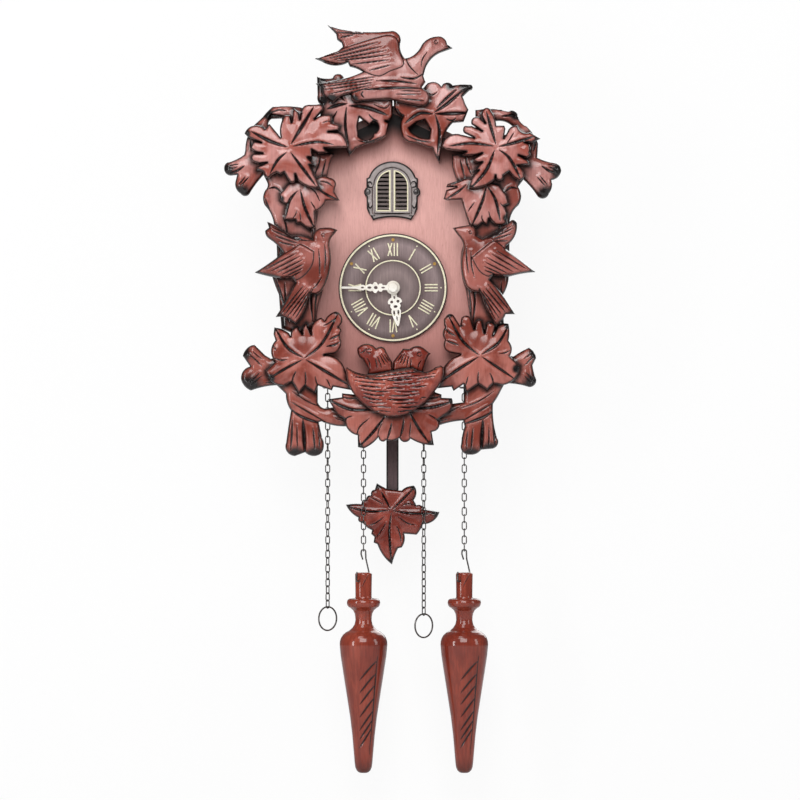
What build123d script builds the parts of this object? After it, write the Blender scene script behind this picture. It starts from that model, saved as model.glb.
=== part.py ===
from build123d import *
from math import cos, radians, sin
import os

# Wall-hung quartz cuckoo clock. The origin is the centre of the hanging hole on the wall plane,
# +X to the right, +Z up, +Y into the wall. "Depth" is the distance in front of the wall, -Y.

# ---- driving dimensions, mm -----------------------------------------------------------------
CASE_HALF = 83
WALL = 8
PANEL_BACK = 82
PANEL_FRONT = 88
BACK_PANEL_T = 6
CASE_FLOOR = -198
FLOOR_T = 8
ROOF_APEX = 38
ROOF_HALF = 90
ROOF_DROP = 43
ROOF_T = 6.65  # measured straight down

BRANCH_FRONT = 98
LEAF_FRONT = 106
TOP_FRONT = 118
PEG_R = 4

DIAL_Z = -117
DIAL_R = 46.3
DIAL_FRONT = 91
NUMERAL_R = 32.5
NUMERAL_H = 11
BAR_W = 1.1
BAR_PITCH = 2.6

DOOR_X = -0.7
DOOR_FOOT = -53.3
DOOR_SPRING = -30.5
DOORWAY_R = 15.8
SHUTTER_R = 15.2
SHUTTER_HINGE = 15.6
SHUTTER_AXIS = 91
LOUVRE_PITCH = 3.5

RUNNING = 0.05
MOVEMENT_HALF = 38
MOVEMENT_TOP = -86
MOVEMENT_BOTTOM = -164
MOVEMENT_BACK = 48
MOVEMENT_FRONT = 80
TRAIN_CENTRES = 12

PENDULUM_X = -0.5
PIVOT_Z = -150
ROD_W = 10.5
ROD_BACK = 38
ROD_FRONT = 41.5
BOB_FRONT = 49

CHAIN_DEPTH = 57
CHAIN_PITCH = 6.1
LINK_WIRE = 0.95
LINK_W = 4.6
STAPLE_BAR = 0.8
STAPLE_Z = CASE_FLOOR - 4
RING_CHAINS = {"left": (-56, 31, 42), "right": (26.3, 32, -48)}  # x, links, twist
WEIGHT_CHAINS = {"left": -25.3, "right": 61}
WEIGHT_LINKS = 23
RING_OD = 21.6
RING_WIRE = 1.4
RING_TURN = 42
HOOK_WIRE = 1.3

DOOR_HALF = 60
DOOR_TOP = -60
DOOR_BOTTOM = -175
DOOR_PIVOT_X = -63
DOOR_PIVOT_DEPTH = 3.5
KNUCKLE_R = 2.6

os.makedirs("parts", exist_ok=True)


def save(part, name):
    """Labels a finished piece and writes its STEP file."""
    part.label = name
    export_step(part, f"parts/{name}.step")


def facing(depth, x=0, z=0, turn=0):
    """A sketch plane that looks to the front; turn is clockwise degrees, as on a dial."""
    a = radians(turn)
    return Plane(origin=(x, -depth, z), x_dir=(cos(a), 0, -sin(a)), z_dir=(0, -1, 0))


def trace(steps):
    """The edges of a closed outline. A bare point ends a straight edge, a pair of points is an
    arc through the first to the second, and a longer group is a smooth curve through them all."""
    last = steps[-1]
    start = last if isinstance(last[0], (int, float)) else last[-1]
    with BuildLine() as line:
        for step in steps:
            if isinstance(step[0], (int, float)):
                Line(start, step)
                start = step
            elif len(step) == 2:
                ThreePointArc(start, *step)
                start = step[-1]
            else:
                Spline(start, *step)
                start = step[-1]
    return line.edges()


def carve(steps, back, front, holes=()):
    """Adds a board cut to an outline to the piece being built, from one depth to another."""
    with BuildSketch(facing(back)) as face:
        make_face(trace(steps))
        for hole in holes:
            make_face(trace(hole), mode=Mode.SUBTRACT)
    extrude(face.sketch, amount=front - back)


def pegs(places):
    """Adds glued round pegs behind a carving that stands off the branch, down to the branch."""
    with BuildSketch(facing(BRANCH_FRONT)) as face:
        with Locations(*places):
            Circle(PEG_R)
    extrude(face.sketch, amount=LEAF_FRONT - BRANCH_FRONT)


def block(x0, x1, depth0, depth1, z0, z1, mode=Mode.ADD):
    """A rectangular block between two sides, two depths and two heights."""
    with BuildSketch(facing(depth0)) as face:
        with Locations(((x0 + x1) / 2, (z0 + z1) / 2)):
            Rectangle(x1 - x0, z1 - z0)
    extrude(face.sketch, amount=depth1 - depth0, mode=mode)


def rod(radius, depth0, depth1, x=0, z=0, mode=Mode.ADD):
    """A round rod that points to the front, between two depths."""
    with BuildSketch(facing(depth0, x, z)) as face:
        Circle(radius)
    extrude(face.sketch, amount=depth1 - depth0, mode=mode)


# ---- case -----------------------------------------------------------------------------------
def roof_z(x, drop=0):
    """Height of the roof's top face at x, or of a line that far below it."""
    return ROOF_APEX - abs(x) * ROOF_DROP / ROOF_HALF - drop


GABLE = [
    (-CASE_HALF, CASE_FLOOR),
    (CASE_HALF, CASE_FLOOR),
    (CASE_HALF, roof_z(CASE_HALF, ROOF_T)),
    (0, roof_z(0, ROOF_T)),
    (-CASE_HALF, roof_z(CASE_HALF, ROOF_T)),
]


def doorway(radius, foot):
    """The arched outline of the cuckoo's doorway."""
    return [
        (DOOR_X + radius, foot),
        (DOOR_X + radius, DOOR_SPRING),
        ((DOOR_X, DOOR_SPRING + radius), (DOOR_X - radius, DOOR_SPRING)),
        (DOOR_X - radius, foot),
    ]


SURROUND_SCREWS = [(-21.2, -35.5), (19.4, -35.5)]
with BuildPart() as front_panel:
    carve(GABLE, PANEL_BACK, PANEL_FRONT, holes=[doorway(DOORWAY_R, DOOR_FOOT - 0.5)])
    rod(5.2, PANEL_BACK, PANEL_FRONT, 0, DIAL_Z, Mode.SUBTRACT)
    for x, z in SURROUND_SCREWS:
        rod(1, PANEL_BACK + 1, PANEL_FRONT, x, z, Mode.SUBTRACT)
save(front_panel.part, "front_panel")


def side_wall(side):
    """The upright wall on one side, cut under the roof; side is -1 on the left, 1 on the right."""
    inner = CASE_HALF - WALL
    return [
        (side * CASE_HALF, CASE_FLOOR + FLOOR_T),
        (side * inner, CASE_FLOOR + FLOOR_T),
        (side * inner, roof_z(inner, ROOF_T)),
        (side * CASE_HALF, roof_z(CASE_HALF, ROOF_T)),
    ]


SWITCH_Z = -150
SWITCH_DEPTH = 24
with BuildPart() as left_wall:
    carve(side_wall(-1), BACK_PANEL_T, PANEL_BACK)
save(left_wall.part, "left_wall")

with BuildPart() as right_wall:
    carve(side_wall(1), BACK_PANEL_T, PANEL_BACK)
    with BuildSketch(Plane.YZ.offset(CASE_HALF - WALL)):
        with Locations((-SWITCH_DEPTH, SWITCH_Z)):
            SlotOverall(16, 4.4, rotation=90)
    extrude(amount=WALL, mode=Mode.SUBTRACT)
save(right_wall.part, "right_wall")

CHAIN_HOLES = [-56, 26.3, -25.3, 61]
with BuildPart() as bottom_board:
    block(-CASE_HALF, CASE_HALF, BACK_PANEL_T, PANEL_BACK, CASE_FLOOR, CASE_FLOOR + FLOOR_T)
    with BuildSketch(Plane.XY.offset(CASE_FLOOR)):
        with Locations((PENDULUM_X, -(ROD_BACK + ROD_FRONT) / 2)):
            Rectangle(30, 12)
        for x in CHAIN_HOLES:
            with Locations((x - 4, -CHAIN_DEPTH), (x + 4, -CHAIN_DEPTH)):
                Circle(STAPLE_BAR)
    extrude(amount=FLOOR_T, mode=Mode.SUBTRACT)
save(bottom_board.part, "bottom_board")

for name, side in (("left_roof_board", -1), ("right_roof_board", 1)):
    with BuildPart() as roof_board:
        carve(
            [
                (side * ROOF_HALF, roof_z(ROOF_HALF)),
                (side * ROOF_HALF, roof_z(ROOF_HALF, ROOF_T)),
                (0, roof_z(0, ROOF_T)),
                (0, ROOF_APEX),
            ],
            0,
            PANEL_FRONT,
        )
    save(roof_board.part, name)

HANGER_HALF = 15
SPEAKER_Z = -34
with BuildPart() as back_panel:
    carve(GABLE, 0, BACK_PANEL_T)
    block(-67, DOOR_HALF + 0.5, 0, BACK_PANEL_T, DOOR_BOTTOM - 0.5, DOOR_TOP + 0.5, Mode.SUBTRACT)
    block(-HANGER_HALF, HANGER_HALF, 0, 2, -12, 12, Mode.SUBTRACT)
    rod(8, 0, BACK_PANEL_T, mode=Mode.SUBTRACT)
    with BuildSketch(facing(0, 0, SPEAKER_Z)):
        with GridLocations(0, 6, 1, 5):
            SlotOverall(26, 3)
    extrude(amount=BACK_PANEL_T, mode=Mode.SUBTRACT)
save(back_panel.part, "back_panel")

with BuildPart() as hanger_plate:
    block(-HANGER_HALF, HANGER_HALF, 0, 2, -12, 12)
    rod(4.5, 0, 2, mode=Mode.SUBTRACT)
save(hanger_plate.part, "hanger_plate")

HINGE_ZS = [-80, -155]
DOOR_KNUCKLE = 10
with BuildPart() as back_door:
    block(-DOOR_HALF, DOOR_HALF, 1.5, 5.5, DOOR_BOTTOM, DOOR_TOP)
    for z in HINGE_ZS:
        block(DOOR_PIVOT_X, -DOOR_HALF, 2.5, 4.5, z - DOOR_KNUCKLE / 2, z + DOOR_KNUCKLE / 2)
        with BuildSketch(Plane.XY.offset(z - DOOR_KNUCKLE / 2)):
            with Locations((DOOR_PIVOT_X, -DOOR_PIVOT_DEPTH)):
                Circle(KNUCKLE_R)
        extrude(amount=DOOR_KNUCKLE)
        with BuildSketch(Plane.XY.offset(z - DOOR_KNUCKLE / 2)):
            with Locations((DOOR_PIVOT_X, -DOOR_PIVOT_DEPTH)):
                Circle(1 + RUNNING)
        extrude(amount=DOOR_KNUCKLE, mode=Mode.SUBTRACT)
    with BuildSketch(facing(1.5, DOOR_HALF - 14, (DOOR_TOP + DOOR_BOTTOM) / 2)):
        SlotOverall(24, 8, rotation=90)
    extrude(amount=4, mode=Mode.SUBTRACT)
save(back_door.part, "back_door")

with BuildPart() as back_door_hinges:
    for z in HINGE_ZS:
        for end in (-1, 1):
            middle = z + end * (DOOR_KNUCKLE / 2 + 3.2)
            with BuildSketch(Plane.XY.offset(middle - 3)):
                with Locations((DOOR_PIVOT_X, -DOOR_PIVOT_DEPTH)):
                    Circle(KNUCKLE_R)
            extrude(amount=6)
            block(-74.8, DOOR_PIVOT_X - 1, BACK_PANEL_T, BACK_PANEL_T + 1, middle - 3, middle + 3)
            block(DOOR_PIVOT_X - 2, DOOR_PIVOT_X - 1, 4, BACK_PANEL_T + 1, middle - 3, middle + 3)
        with BuildSketch(Plane.XY.offset(z - DOOR_KNUCKLE / 2 - 5)):
            with Locations((DOOR_PIVOT_X, -DOOR_PIVOT_DEPTH)):
                Circle(1)
        extrude(amount=DOOR_KNUCKLE + 10)
save(back_door_hinges.part, "back_door_hinges")

# ---- carved branches ------------------------------------------------------------------------
LEFT_VINE_BRANCH = [
    (-126.5, -4), ((-133, -7.8), (-139, -10)), ((-142.5, -12), (-143.5, -16)),
    ((-141.5, -20.3), (-137.5, -21.5)), (-132.5, -21), (-134, -27), ((-133.5, -32.5), (-129.5, -37)),
    ((-125.5, -39), (-122.5, -37.5)), ((-118, -30.5), (-110.2, -21)), (-107.5, -26.5),
    ((-106.5, -30), (-108.5, -34)), ((-110.5, -41), (-109, -47)), ((-104.5, -53), (-101.8, -60)),
    ((-99.5, -75), (-98.6, -91)), (-102.5, -108.5), ((-99.5, -117), (-97, -123)),
    ((-95.8, -140), (-94.8, -152)), (-80, -158), (-64.5, -150), ((-64, -136), (-61.5, -126.5)),
    ((-58, -112), (-57, -90)), (-64, -75), (-65.5, -64.5), ((-62, -48), (-56, -26)),
    ((-54.5, -16), (-50, -3)), (-66, -1), (-72, 20), (-74, 34), (-78, 36.6),
    ((-90, 37.6), (-102, 37)), ((-106.5, 33), (-110.8, 28)), ((-115, 24), (-119, 20.5)),
    ((-123.5, 12), (-125.6, 0)),
]
BRANCH_GAP = [(-105.5, 21.5), ((-105.2, 25), (-103, 26.7)), (-94.5, 27), (-94, 8.5), (-98, 8)]
RIGHT_VINE_BRANCH = [
    (122.7, -6), ((130, -9), (137.8, -10.7)), ((142.3, -14), (142.5, -19.5)),
    ((140.2, -23), (134.8, -25.4)), ((135, -32), (132.5, -37)), ((128.5, -41), (123, -39)),
    ((117, -31), (111, -25)), (106.5, -31), ((109, -39), (106.5, -47)), ((101.5, -53), (99.3, -60)),
    ((99, -85), (98.4, -108)), ((97.5, -114), (93, -124)), (94.5, -152), (80, -158), (66.5, -152),
    ((64.5, -136), (61.5, -118)), ((57.5, -100), (58, -86)), (63, -70), (64.5, -64),
    ((62, -50), (57, -32)), ((52.5, -22), (50, -13.5)), (50, -4), (66, -3), (70, 20), (70, 34.2),
    ((82, 35.4), (97.6, 33.2)), ((103, 33.4), (106, 31)), ((107.4, 26), (113.7, 20.5)),
    ((120, 12.8), (123.4, 6)),
]
RIGHT_GAP = [(86.5, 24.5), ((94, 24.6), (101.5, 20.5)), (98, 14), (88, 12)]
LEFT_LOWER_BRANCH = [
    (-104, -177), (-109, -174), (-117.8, -165.2), ((-123.5, -168), (-127.7, -175)), (-121.5, -184),
    ((-127.5, -188), (-129, -195.5)), ((-125.5, -201.5), (-120.8, -204.5)),
    ((-114, -202.3), (-98.8, -200)), (-91.1, -207.5), ((-90, -215), (-86.8, -221.5)),
    ((-88.5, -232), (-90.9, -249)), ((-90.5, -256), (-83.3, -260.2)), (-74.7, -257),
    ((-67, -260.2), (-60.5, -257.5)), ((-58.8, -250), (-60.5, -244)), (-63.1, -231.6),
    (-61, -230.7), ((-52, -233.8), (-40, -235)), (-6, -236), (-6, -222), (-40, -217.5),
    (-53, -219), ((-61, -218.5), (-64, -214)), (-64, -201), (-62, -180), (-80, -172),
]
RIGHT_LOWER_BRANCH = [
    (102.7, -175), ((109, -171), (115.6, -167.6)), ((119.5, -171), (121.6, -177)), (118.6, -183),
    ((119.5, -188), (121.6, -194.5)), ((120.5, -199.5), (115.6, -201.5)),
    ((108, -199.5), (95, -198.4)), (88.9, -210), (85, -216), ((85.2, -228), (88.4, -244.5)),
    ((87.5, -252.5), (83.7, -254)), (75, -254.8), ((70, -258.5), (65, -259)),
    ((59.5, -257), (58, -250)), ((59.5, -240), (60.9, -235)), (59.6, -230),
    ((50, -231.2), (38, -234.6)), (6, -236), (6, -222), (36, -217), (50, -215.7), (60, -214.4),
    (60, -200), (58, -180), (78, -172),
]
with BuildPart() as left_vine_branch:
    carve(LEFT_VINE_BRANCH, PANEL_FRONT, BRANCH_FRONT, holes=[BRANCH_GAP])
save(left_vine_branch.part, "left_vine_branch")
with BuildPart() as right_vine_branch:
    carve(RIGHT_VINE_BRANCH, PANEL_FRONT, BRANCH_FRONT, holes=[RIGHT_GAP])
save(right_vine_branch.part, "right_vine_branch")
with BuildPart() as left_lower_branch:
    carve(LEFT_LOWER_BRANCH, PANEL_FRONT, BRANCH_FRONT)
save(left_lower_branch.part, "left_lower_branch")
with BuildPart() as right_lower_branch:
    carve(RIGHT_LOWER_BRANCH, PANEL_FRONT, BRANCH_FRONT)
save(right_lower_branch.part, "right_lower_branch")

# ---- carved leaves --------------------------------------------------------------------------
LEFT_CREST_LEAF = [
    (-64.5, 62), ((-57, 60.5), (-51, 61)), ((-47, 64.5), (-41.5, 60.7)), (-24, 50), (-0.4, 47),
    (-0.2, 31), ((-1, 27), (-6.5, 24.2)), (-3.2, 22.5), ((-4.2, 17), (-5.5, 12)),
    ((-11, 8), (-20, 5)), ((-27, 3), (-32, 0.8)), ((-34, -2.5), (-37.3, -5.6)),
    ((-41, 3), (-46, 12)), (-56, 15), (-62, 26), (-61, 38.3), ((-64, 42), (-64, 46)),
]
LEFT_HEART = [
    (-29, 11), (-30, 20), (-28.5, 27.6), (-20, 21), (-16.5, 24), ((-12.5, 20), (-16.5, 14)),
    ((-21, 8.5), (-26, 8.8)),
]
RIGHT_CREST_LEAF = [
    (29.3, 56.4), ((33.5, 57.8), (39.8, 55.5)), (41.2, 53.6), ((45.5, 57.2), (50.8, 54.7)),
    ((58, 55.5), (64.7, 55.3)), ((67.5, 54.2), (65.1, 51)), (59.1, 45.3), ((60.5, 42), (61.5, 39)),
    (64.1, 34.2), (60, 24), (50.7, 23.2), ((43.5, 12), (41.4, 2)), (39.6, -11.6),
    ((35.5, -5), (33.5, 1)), ((28, 2.5), (20, 5.5)), ((12, 7), (8, 10)), (6.5, 16),
    ((6.2, 22), (8.5, 28)), (3.5, 31), (0.8, 36), (0.4, 47), (22, 48),
]
RIGHT_HEART = [(13.5, 18), (20, 23), (27, 25), (31.5, 17), (30.5, 9.5), ((22, 11), (15, 15.5))]
with BuildPart() as left_crest_leaf:
    carve(LEFT_CREST_LEAF, PANEL_FRONT, LEAF_FRONT, holes=[LEFT_HEART])
save(left_crest_leaf.part, "left_crest_leaf")
with BuildPart() as right_crest_leaf:
    carve(RIGHT_CREST_LEAF, PANEL_FRONT, LEAF_FRONT, holes=[RIGHT_HEART])
save(right_crest_leaf.part, "right_crest_leaf")

LEFT_VINE_LEAF = [
    (-125.6, 13.1), ((-119, 19.6), (-108.2, 16.8)), (-104.5, 21.3), (-95.1, 9.8),
    ((-95, 21), (-91.4, 28.5)), (-87.1, 28.5), (-85.7, 22.5), (-84.4, 34.9), (-80, 31.2),
    (-78.7, 24.8), (-77.8, 30), ((-76, 35.5), (-70, 37.6)), (-61.6, 37.9), ((-59, 34), (-60, 31.9)),
    (-66.3, 25.2), ((-60, 28.6), (-51.9, 28.5)), (-52, 22.3), (-44.6, 19.8), (-46.2, 15.5),
    (-54.9, 14.5), (-46, 13.9), ((-41, 9.5), (-38.3, 1.2)), (-58.3, 0.7), (-54.9, -2.9), (-63.3, -3.6),
    (-68.7, -0.6), (-68, -7), (-72.3, -7), (-66, -14), (-70.7, -13.3), ((-67, -21), (-61.3, -33.1)),
    ((-71, -32.2), (-80.4, -26.7)), (-82.7, -21.4), (-82.4, -26.4), ((-85.5, -28.6), (-88.1, -26.4)),
    (-92.1, -19.7), (-95.4, -21.4), (-98.5, -19.7), (-102.8, -22), ((-106.5, -24.2), (-108.5, -23.5)),
    ((-110.5, -19), (-115.5, -18)), (-114.5, -15), (-106.5, -11.7), (-113, -12.4), (-118.2, -10.7),
    ((-120.2, -7), (-117.2, -4)), (-110.2, -3.8), (-116.2, -2.6), (-120.2, 0.1),
    ((-119.5, 4), (-117.2, 6.4)), (-111.5, 5.4), (-116.9, 7.4), (-122.9, 10.4),
]
RIGHT_VINE_LEAF = [
    (41, 1.7), ((46, 10.3), (58.1, 12.1)), (68.8, 9.4), (61.8, 13), ((59.3, 16.5), (60.8, 19.5)),
    (66.8, 19.5), (75.5, 15.1), (66.5, 21.2), ((68, 26.4), (73.5, 26.5)), (78.2, 21.8),
    (75.6, 26.2), ((75, 31), (76.8, 33.9)), ((80.5, 35), (82.9, 32.5)), ((86.2, 26), (87.5, 19.8)),
    (94.2, 19.8), (95.2, 17.1), (93.9, 9.1), (96.9, 14.5), ((100.5, 19), (105.3, 19.8)),
    ((109, 14.5), (116, 14.2)), (124.7, 8.8), (117.7, 5.4), (111.3, 5.6), (115, 4.2),
    ((116.3, 0.5), (115.7, -3)), (117, -5), (113.5, -7.6), (106.3, -5.3), (111, -7.9),
    ((114.2, -10), (115.7, -13.3)), (105.3, -14), ((109.5, -17.2), (111, -24.4)), (107.5, -27),
    ((102.5, -23.8), (98.3, -19)), (93.6, -22.4), ((90, -26.8), (87.2, -25)), (86.9, -22.4),
    (86.2, -25.7), ((77, -31.5), (64.4, -32.9)), ((66.5, -26), (68.8, -21.7)), (72.8, -18),
    (68.5, -18.7), (75.5, -11), ((70.5, -11.2), (67.5, -8.7)), (75.5, -3.6),
    ((66.5, -5.6), (58.1, -5)), (62.1, -2.3), ((51, -1.2), (44, 0)),
]
with BuildPart() as left_vine_leaf:
    carve(LEFT_VINE_LEAF, LEAF_FRONT, TOP_FRONT)
    pegs([(-93, 2), (-84, -14)])
save(left_vine_leaf.part, "left_vine_leaf")
with BuildPart() as right_vine_leaf:
    carve(RIGHT_VINE_LEAF, LEAF_FRONT, TOP_FRONT)
    pegs([(93, 2), (84, -14)])
save(right_vine_leaf.part, "right_vine_leaf")

LEFT_SIDE_LEAF = [
    (-66, -25), ((-58, -22.5), (-53.4, -24.1)), ((-48.6, -27.5), (-49, -32.2)), (-49.5, -36),
    (-45.1, -43.2), (-57, -43.5), ((-61, -49.5), (-66, -52.4)), (-65.5, -65), (-69.5, -69),
    (-78.5, -62.4), (-81.7, -62.8), (-83, -59.6), (-91.9, -59.6), ((-91.8, -52), (-90.4, -46.6)),
    (-95.3, -43.7), ((-96, -38), (-93.4, -34.9)), (-88, -28), (-75, -26),
]
RIGHT_SIDE_LEAF = [
    (64, -24), (55.5, -26.2), (46.1, -29.1), (45, -32), (53.7, -31.7), (45, -34.4), (42.9, -42),
    (46, -43.1), (57.9, -42.5), ((60, -50), (64.6, -64.6)), (69.3, -67.8), (75.7, -62),
    (80.2, -63.9), (81.5, -58.8), ((87, -63.5), (96.1, -63.3)), (97, -54), (94.5, -47.8),
    (98.2, -46), (96.5, -38.8), (90, -30), (76, -26),
]
with BuildPart() as left_side_leaf:
    carve(LEFT_SIDE_LEAF, BRANCH_FRONT, LEAF_FRONT)
save(left_side_leaf.part, "left_side_leaf")
with BuildPart() as right_side_leaf:
    carve(RIGHT_SIDE_LEAF, BRANCH_FRONT, LEAF_FRONT)
save(right_side_leaf.part, "right_side_leaf")

LEFT_LOWER_LEAF = [
    (-100.6, -150.7), ((-94, -152.5), (-88.1, -155.8)), (-86.8, -158.4),
    ((-85, -152.3), (-81.2, -150.2)), (-76.9, -156.7), ((-76, -150), (-73.4, -147.2)),
    (-69.3, -157), ((-67.5, -147), (-60.5, -142.5)), (-57.9, -145.1), ((-53.5, -139.5), (-48.5, -137.3)),
    ((-45.3, -139), (-46.3, -150.7)), ((-44, -152.5), (-43.7, -154.1)), ((-45, -158), (-43.7, -162)),
    ((-44.6, -168), (-48.9, -173)), (-58.4, -174.3), ((-50, -175.6), (-42, -183.4)),
    ((-39, -190), (-33.5, -204.5)), (-50.6, -201.3), (-51.9, -204.5), (-63.5, -200.2),
    (-66.1, -206.6), (-74.7, -200.6), (-79.9, -207.1), (-85.5, -197.2), (-92.8, -200.6),
    ((-103, -197), (-108, -188)), (-100, -180), ((-103.5, -171), (-99.7, -162)), (-101.4, -156.7),
]
RIGHT_LOWER_LEAF = [
    (45, -141.6), ((48, -139.3), (51.9, -141.2)), (57, -149.4), (57.9, -143),
    ((61.5, -140.8), (66, -143)), (69.1, -152.4), (69.9, -147.5), ((72, -144.6), (75.5, -145.6)),
    (77.7, -155.8), (79.2, -148), ((83, -146.4), (87.2, -149.8)), (85, -158), (88.9, -150.2),
    ((93.5, -147.4), (97.9, -147.6)), ((98.8, -155), (98, -162)), ((100.8, -168), (99.2, -175)),
    (108, -184), ((102, -196), (92.8, -200)), (85, -198.5), (80, -204), (72.5, -199), (62, -206),
    (60, -199), (51.4, -204.9), (49.7, -201.3), (37.5, -202.7), ((40.5, -189), (50, -177)),
    (57, -174), (48, -172.5), ((43, -167), (44, -161.5)), ((42.2, -156), (44, -151)),
    ((43, -146), (43.3, -143.5)),
]
BOTTOM_LEAF = [
    (-55.2, -211.8), (-43.3, -210.2), (-43.3, -206.8), (-32.9, -207.8), (-34, -196), (35, -196),
    (35.7, -205.8), (41.2, -207.8), (41.2, -210.6), (50, -211), ((50.3, -218), (43.6, -225.4)),
    (38.1, -229.4), ((39.3, -235), (35.7, -238.9)), (32.9, -239.7), (34.7, -250.9),
    ((24, -249.5), (14.9, -245.3)), ((10.5, -248.3), (5.4, -244.9)), ((0, -247.2), (-5.8, -246.5)),
    ((-10, -247.6), (-12.2, -244.1)), ((-19, -250.5), (-24.9, -253.7)), (-29.7, -252.5),
    (-30, -242.5), ((-37, -239), (-40.7, -229)), (-47.2, -225),
]
with BuildPart() as left_lower_leaf:
    carve(LEFT_LOWER_LEAF, BRANCH_FRONT, LEAF_FRONT)
save(left_lower_leaf.part, "left_lower_leaf")
with BuildPart() as right_lower_leaf:
    carve(RIGHT_LOWER_LEAF, BRANCH_FRONT, LEAF_FRONT)
save(right_lower_leaf.part, "right_lower_leaf")
with BuildPart() as bottom_leaf:
    carve(BOTTOM_LEAF, BRANCH_FRONT, LEAF_FRONT)
save(bottom_leaf.part, "bottom_leaf")

# ---- carved birds and nest ------------------------------------------------------------------
TOP_BIRD = [
    (-55.4, 105), ((-40, 101), (-25.3, 99.5)), ((-13, 99.4), (-0.4, 100.4)), ((5, 97.5), (6.8, 92)),
    ((7.2, 82), (10.1, 77)), ((17, 79.5), (24, 87.5)), ((29, 93), (37.4, 95.7)),
    ((43.5, 94), (46, 89)), (50.3, 85.6), ((43.5, 83.2), (39.8, 81.8)), ((31.5, 75.5), (27.4, 68)),
    (25.9, 62.2), (27.6, 57), (24.5, 52.6), (26.4, 50.7), ((31, 44), (25.4, 36.3)),
    ((12, 38.5), (-2.3, 42.1)), ((-15, 41.6), (-27.2, 40.6)), ((-34.5, 42), (-35.3, 47)),
    ((-41, 46), (-50.1, 39.2)), ((-56.5, 43), (-59.7, 47.8)), (-61.6, 52.6), (-65.4, 55.5),
    ((-45, 59), (-25.3, 65.5)), ((-31, 68.5), (-36.7, 70)), (-38.2, 73.6), ((-48, 71), (-60.6, 74.6)),
    (-65.9, 76.7), ((-55, 80.5), (-46.3, 83.7)), (-42.5, 86.6), (-43.4, 90), (-47.3, 92.8),
    (-48.2, 97.6),
]
LEFT_BIRD = [
    (-47, -68.5), ((-53, -66.5), (-58.8, -66.6)), ((-64, -68), (-68, -76.8)),
    ((-77, -73.2), (-85.6, -73.6)), (-94.5, -68.5), ((-100, -64.5), (-106.6, -61.5)), (-105, -66.6),
    (-108.2, -69.1), ((-107.5, -73), (-104.7, -76.1)), ((-98.5, -81), (-93, -87.5)),
    ((-104, -96), (-117.1, -104.5)), ((-106, -107.5), (-95.8, -109.3)), (-85.6, -109),
    (-82.4, -113.1), (-90.7, -128.4), (-99.3, -142.2), (-94.8, -141.8), ((-88.5, -144), (-82.4, -148.2)),
    ((-76.5, -140), (-72.5, -128.4)), (-69.6, -122.1), ((-62, -121.5), (-59.7, -118.9)),
    ((-53.5, -103), (-53.7, -82)), ((-52, -75), (-49.8, -72.3)),
]
RIGHT_BIRD = [
    (50.5, -66.8), ((56, -65.6), (63, -64.6)), ((68.5, -66), (70.6, -72.9)), (75.7, -76),
    ((86, -70), (98.7, -62)), ((103.5, -60.5), (105, -64)), ((103.5, -73), (96.1, -81.8)), (96, -85),
    ((107, -93), (120.5, -104.1)), ((110, -105.3), (98.7, -107.9)), (84.6, -107.3), (82.1, -110.5),
    ((91, -121), (98.7, -132.2)), (103.5, -139.8), (95.5, -139.8), ((92, -145.5), (87.2, -148.8)),
    ((80, -137), (75.1, -124)), (73.2, -120.7), ((65, -119), (60.4, -112.4)),
    ((57.8, -102), (59.1, -85.6)), ((58, -77), (55.3, -73.5)),
]
NEST = [
    (-40.1, -185.9), (-38.9, -184.7), ((-28, -189.8), (-15.4, -190.7)), ((2, -187.6), (16.5, -185.5)),
    ((24, -188.8), (35.7, -184.7)), (40.4, -183.1), (42.8, -184.7), ((41.5, -196), (35.7, -204.6)),
    ((25.5, -216), (13.3, -223.8)), ((0, -226.8), (-12.2, -223.8)), ((-24, -217), (-32.9, -207.8)),
    ((-38, -198.5), (-39.3, -192)),
]
LEFT_CHICK = [
    (-30.5, -168.8), ((-22, -164.6), (-14.2, -168.8)), ((-9, -167.5), (-5.8, -171.2)), (-0.4, -180.7),
    (-0.4, -195.8), (-24, -195.8), (-21, -187), (-25.7, -178.3), ((-29.5, -174.5), (-30.1, -172.8)),
]
RIGHT_CHICK = [
    (0, -180), ((4, -174.5), (8.6, -168.8)), (14, -169.2), ((21, -166.6), (27.5, -169.5)),
    (32.1, -173.2), (30.1, -175.1), (28, -180), (26, -187), (26, -195.8), (0, -195.8),
]
with BuildPart() as top_bird:
    carve(TOP_BIRD, LEAF_FRONT, TOP_FRONT)
save(top_bird.part, "top_bird")
with BuildPart() as left_bird:
    carve(LEFT_BIRD, LEAF_FRONT, TOP_FRONT)
    pegs([(-85, -96), (-72, -100)])
save(left_bird.part, "left_bird")
with BuildPart() as right_bird:
    carve(RIGHT_BIRD, LEAF_FRONT, TOP_FRONT)
    pegs([(86, -96), (73, -100)])
save(right_bird.part, "right_bird")
with BuildPart() as nest:
    carve(NEST, LEAF_FRONT, TOP_FRONT + 4)
    carve(LEFT_CHICK, BRANCH_FRONT, LEAF_FRONT)
    carve(RIGHT_CHICK, BRANCH_FRONT, LEAF_FRONT)
save(nest.part, "nest")

# ---- dial and hands -------------------------------------------------------------------------
NUMERALS = ["I", "II", "III", "IIII", "V", "VI", "VII", "VIII", "IX", "X", "XI", "XII"]
GLYPH_W = {"I": BAR_PITCH, "V": 4.8, "X": 4.8}
BIG_STUDS = (2, 6, 10, 12)
STUD_R = 40.8

with BuildPart() as dial_plate:
    rod(DIAL_R, PANEL_FRONT, DIAL_FRONT, 0, DIAL_Z)
    chamfer(dial_plate.faces().sort_by(Axis.Y)[0].edges(), 0.5)
    rod(5.1, PANEL_FRONT, DIAL_FRONT, 0, DIAL_Z, Mode.SUBTRACT)
save(dial_plate.part, "dial_plate")

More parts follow.
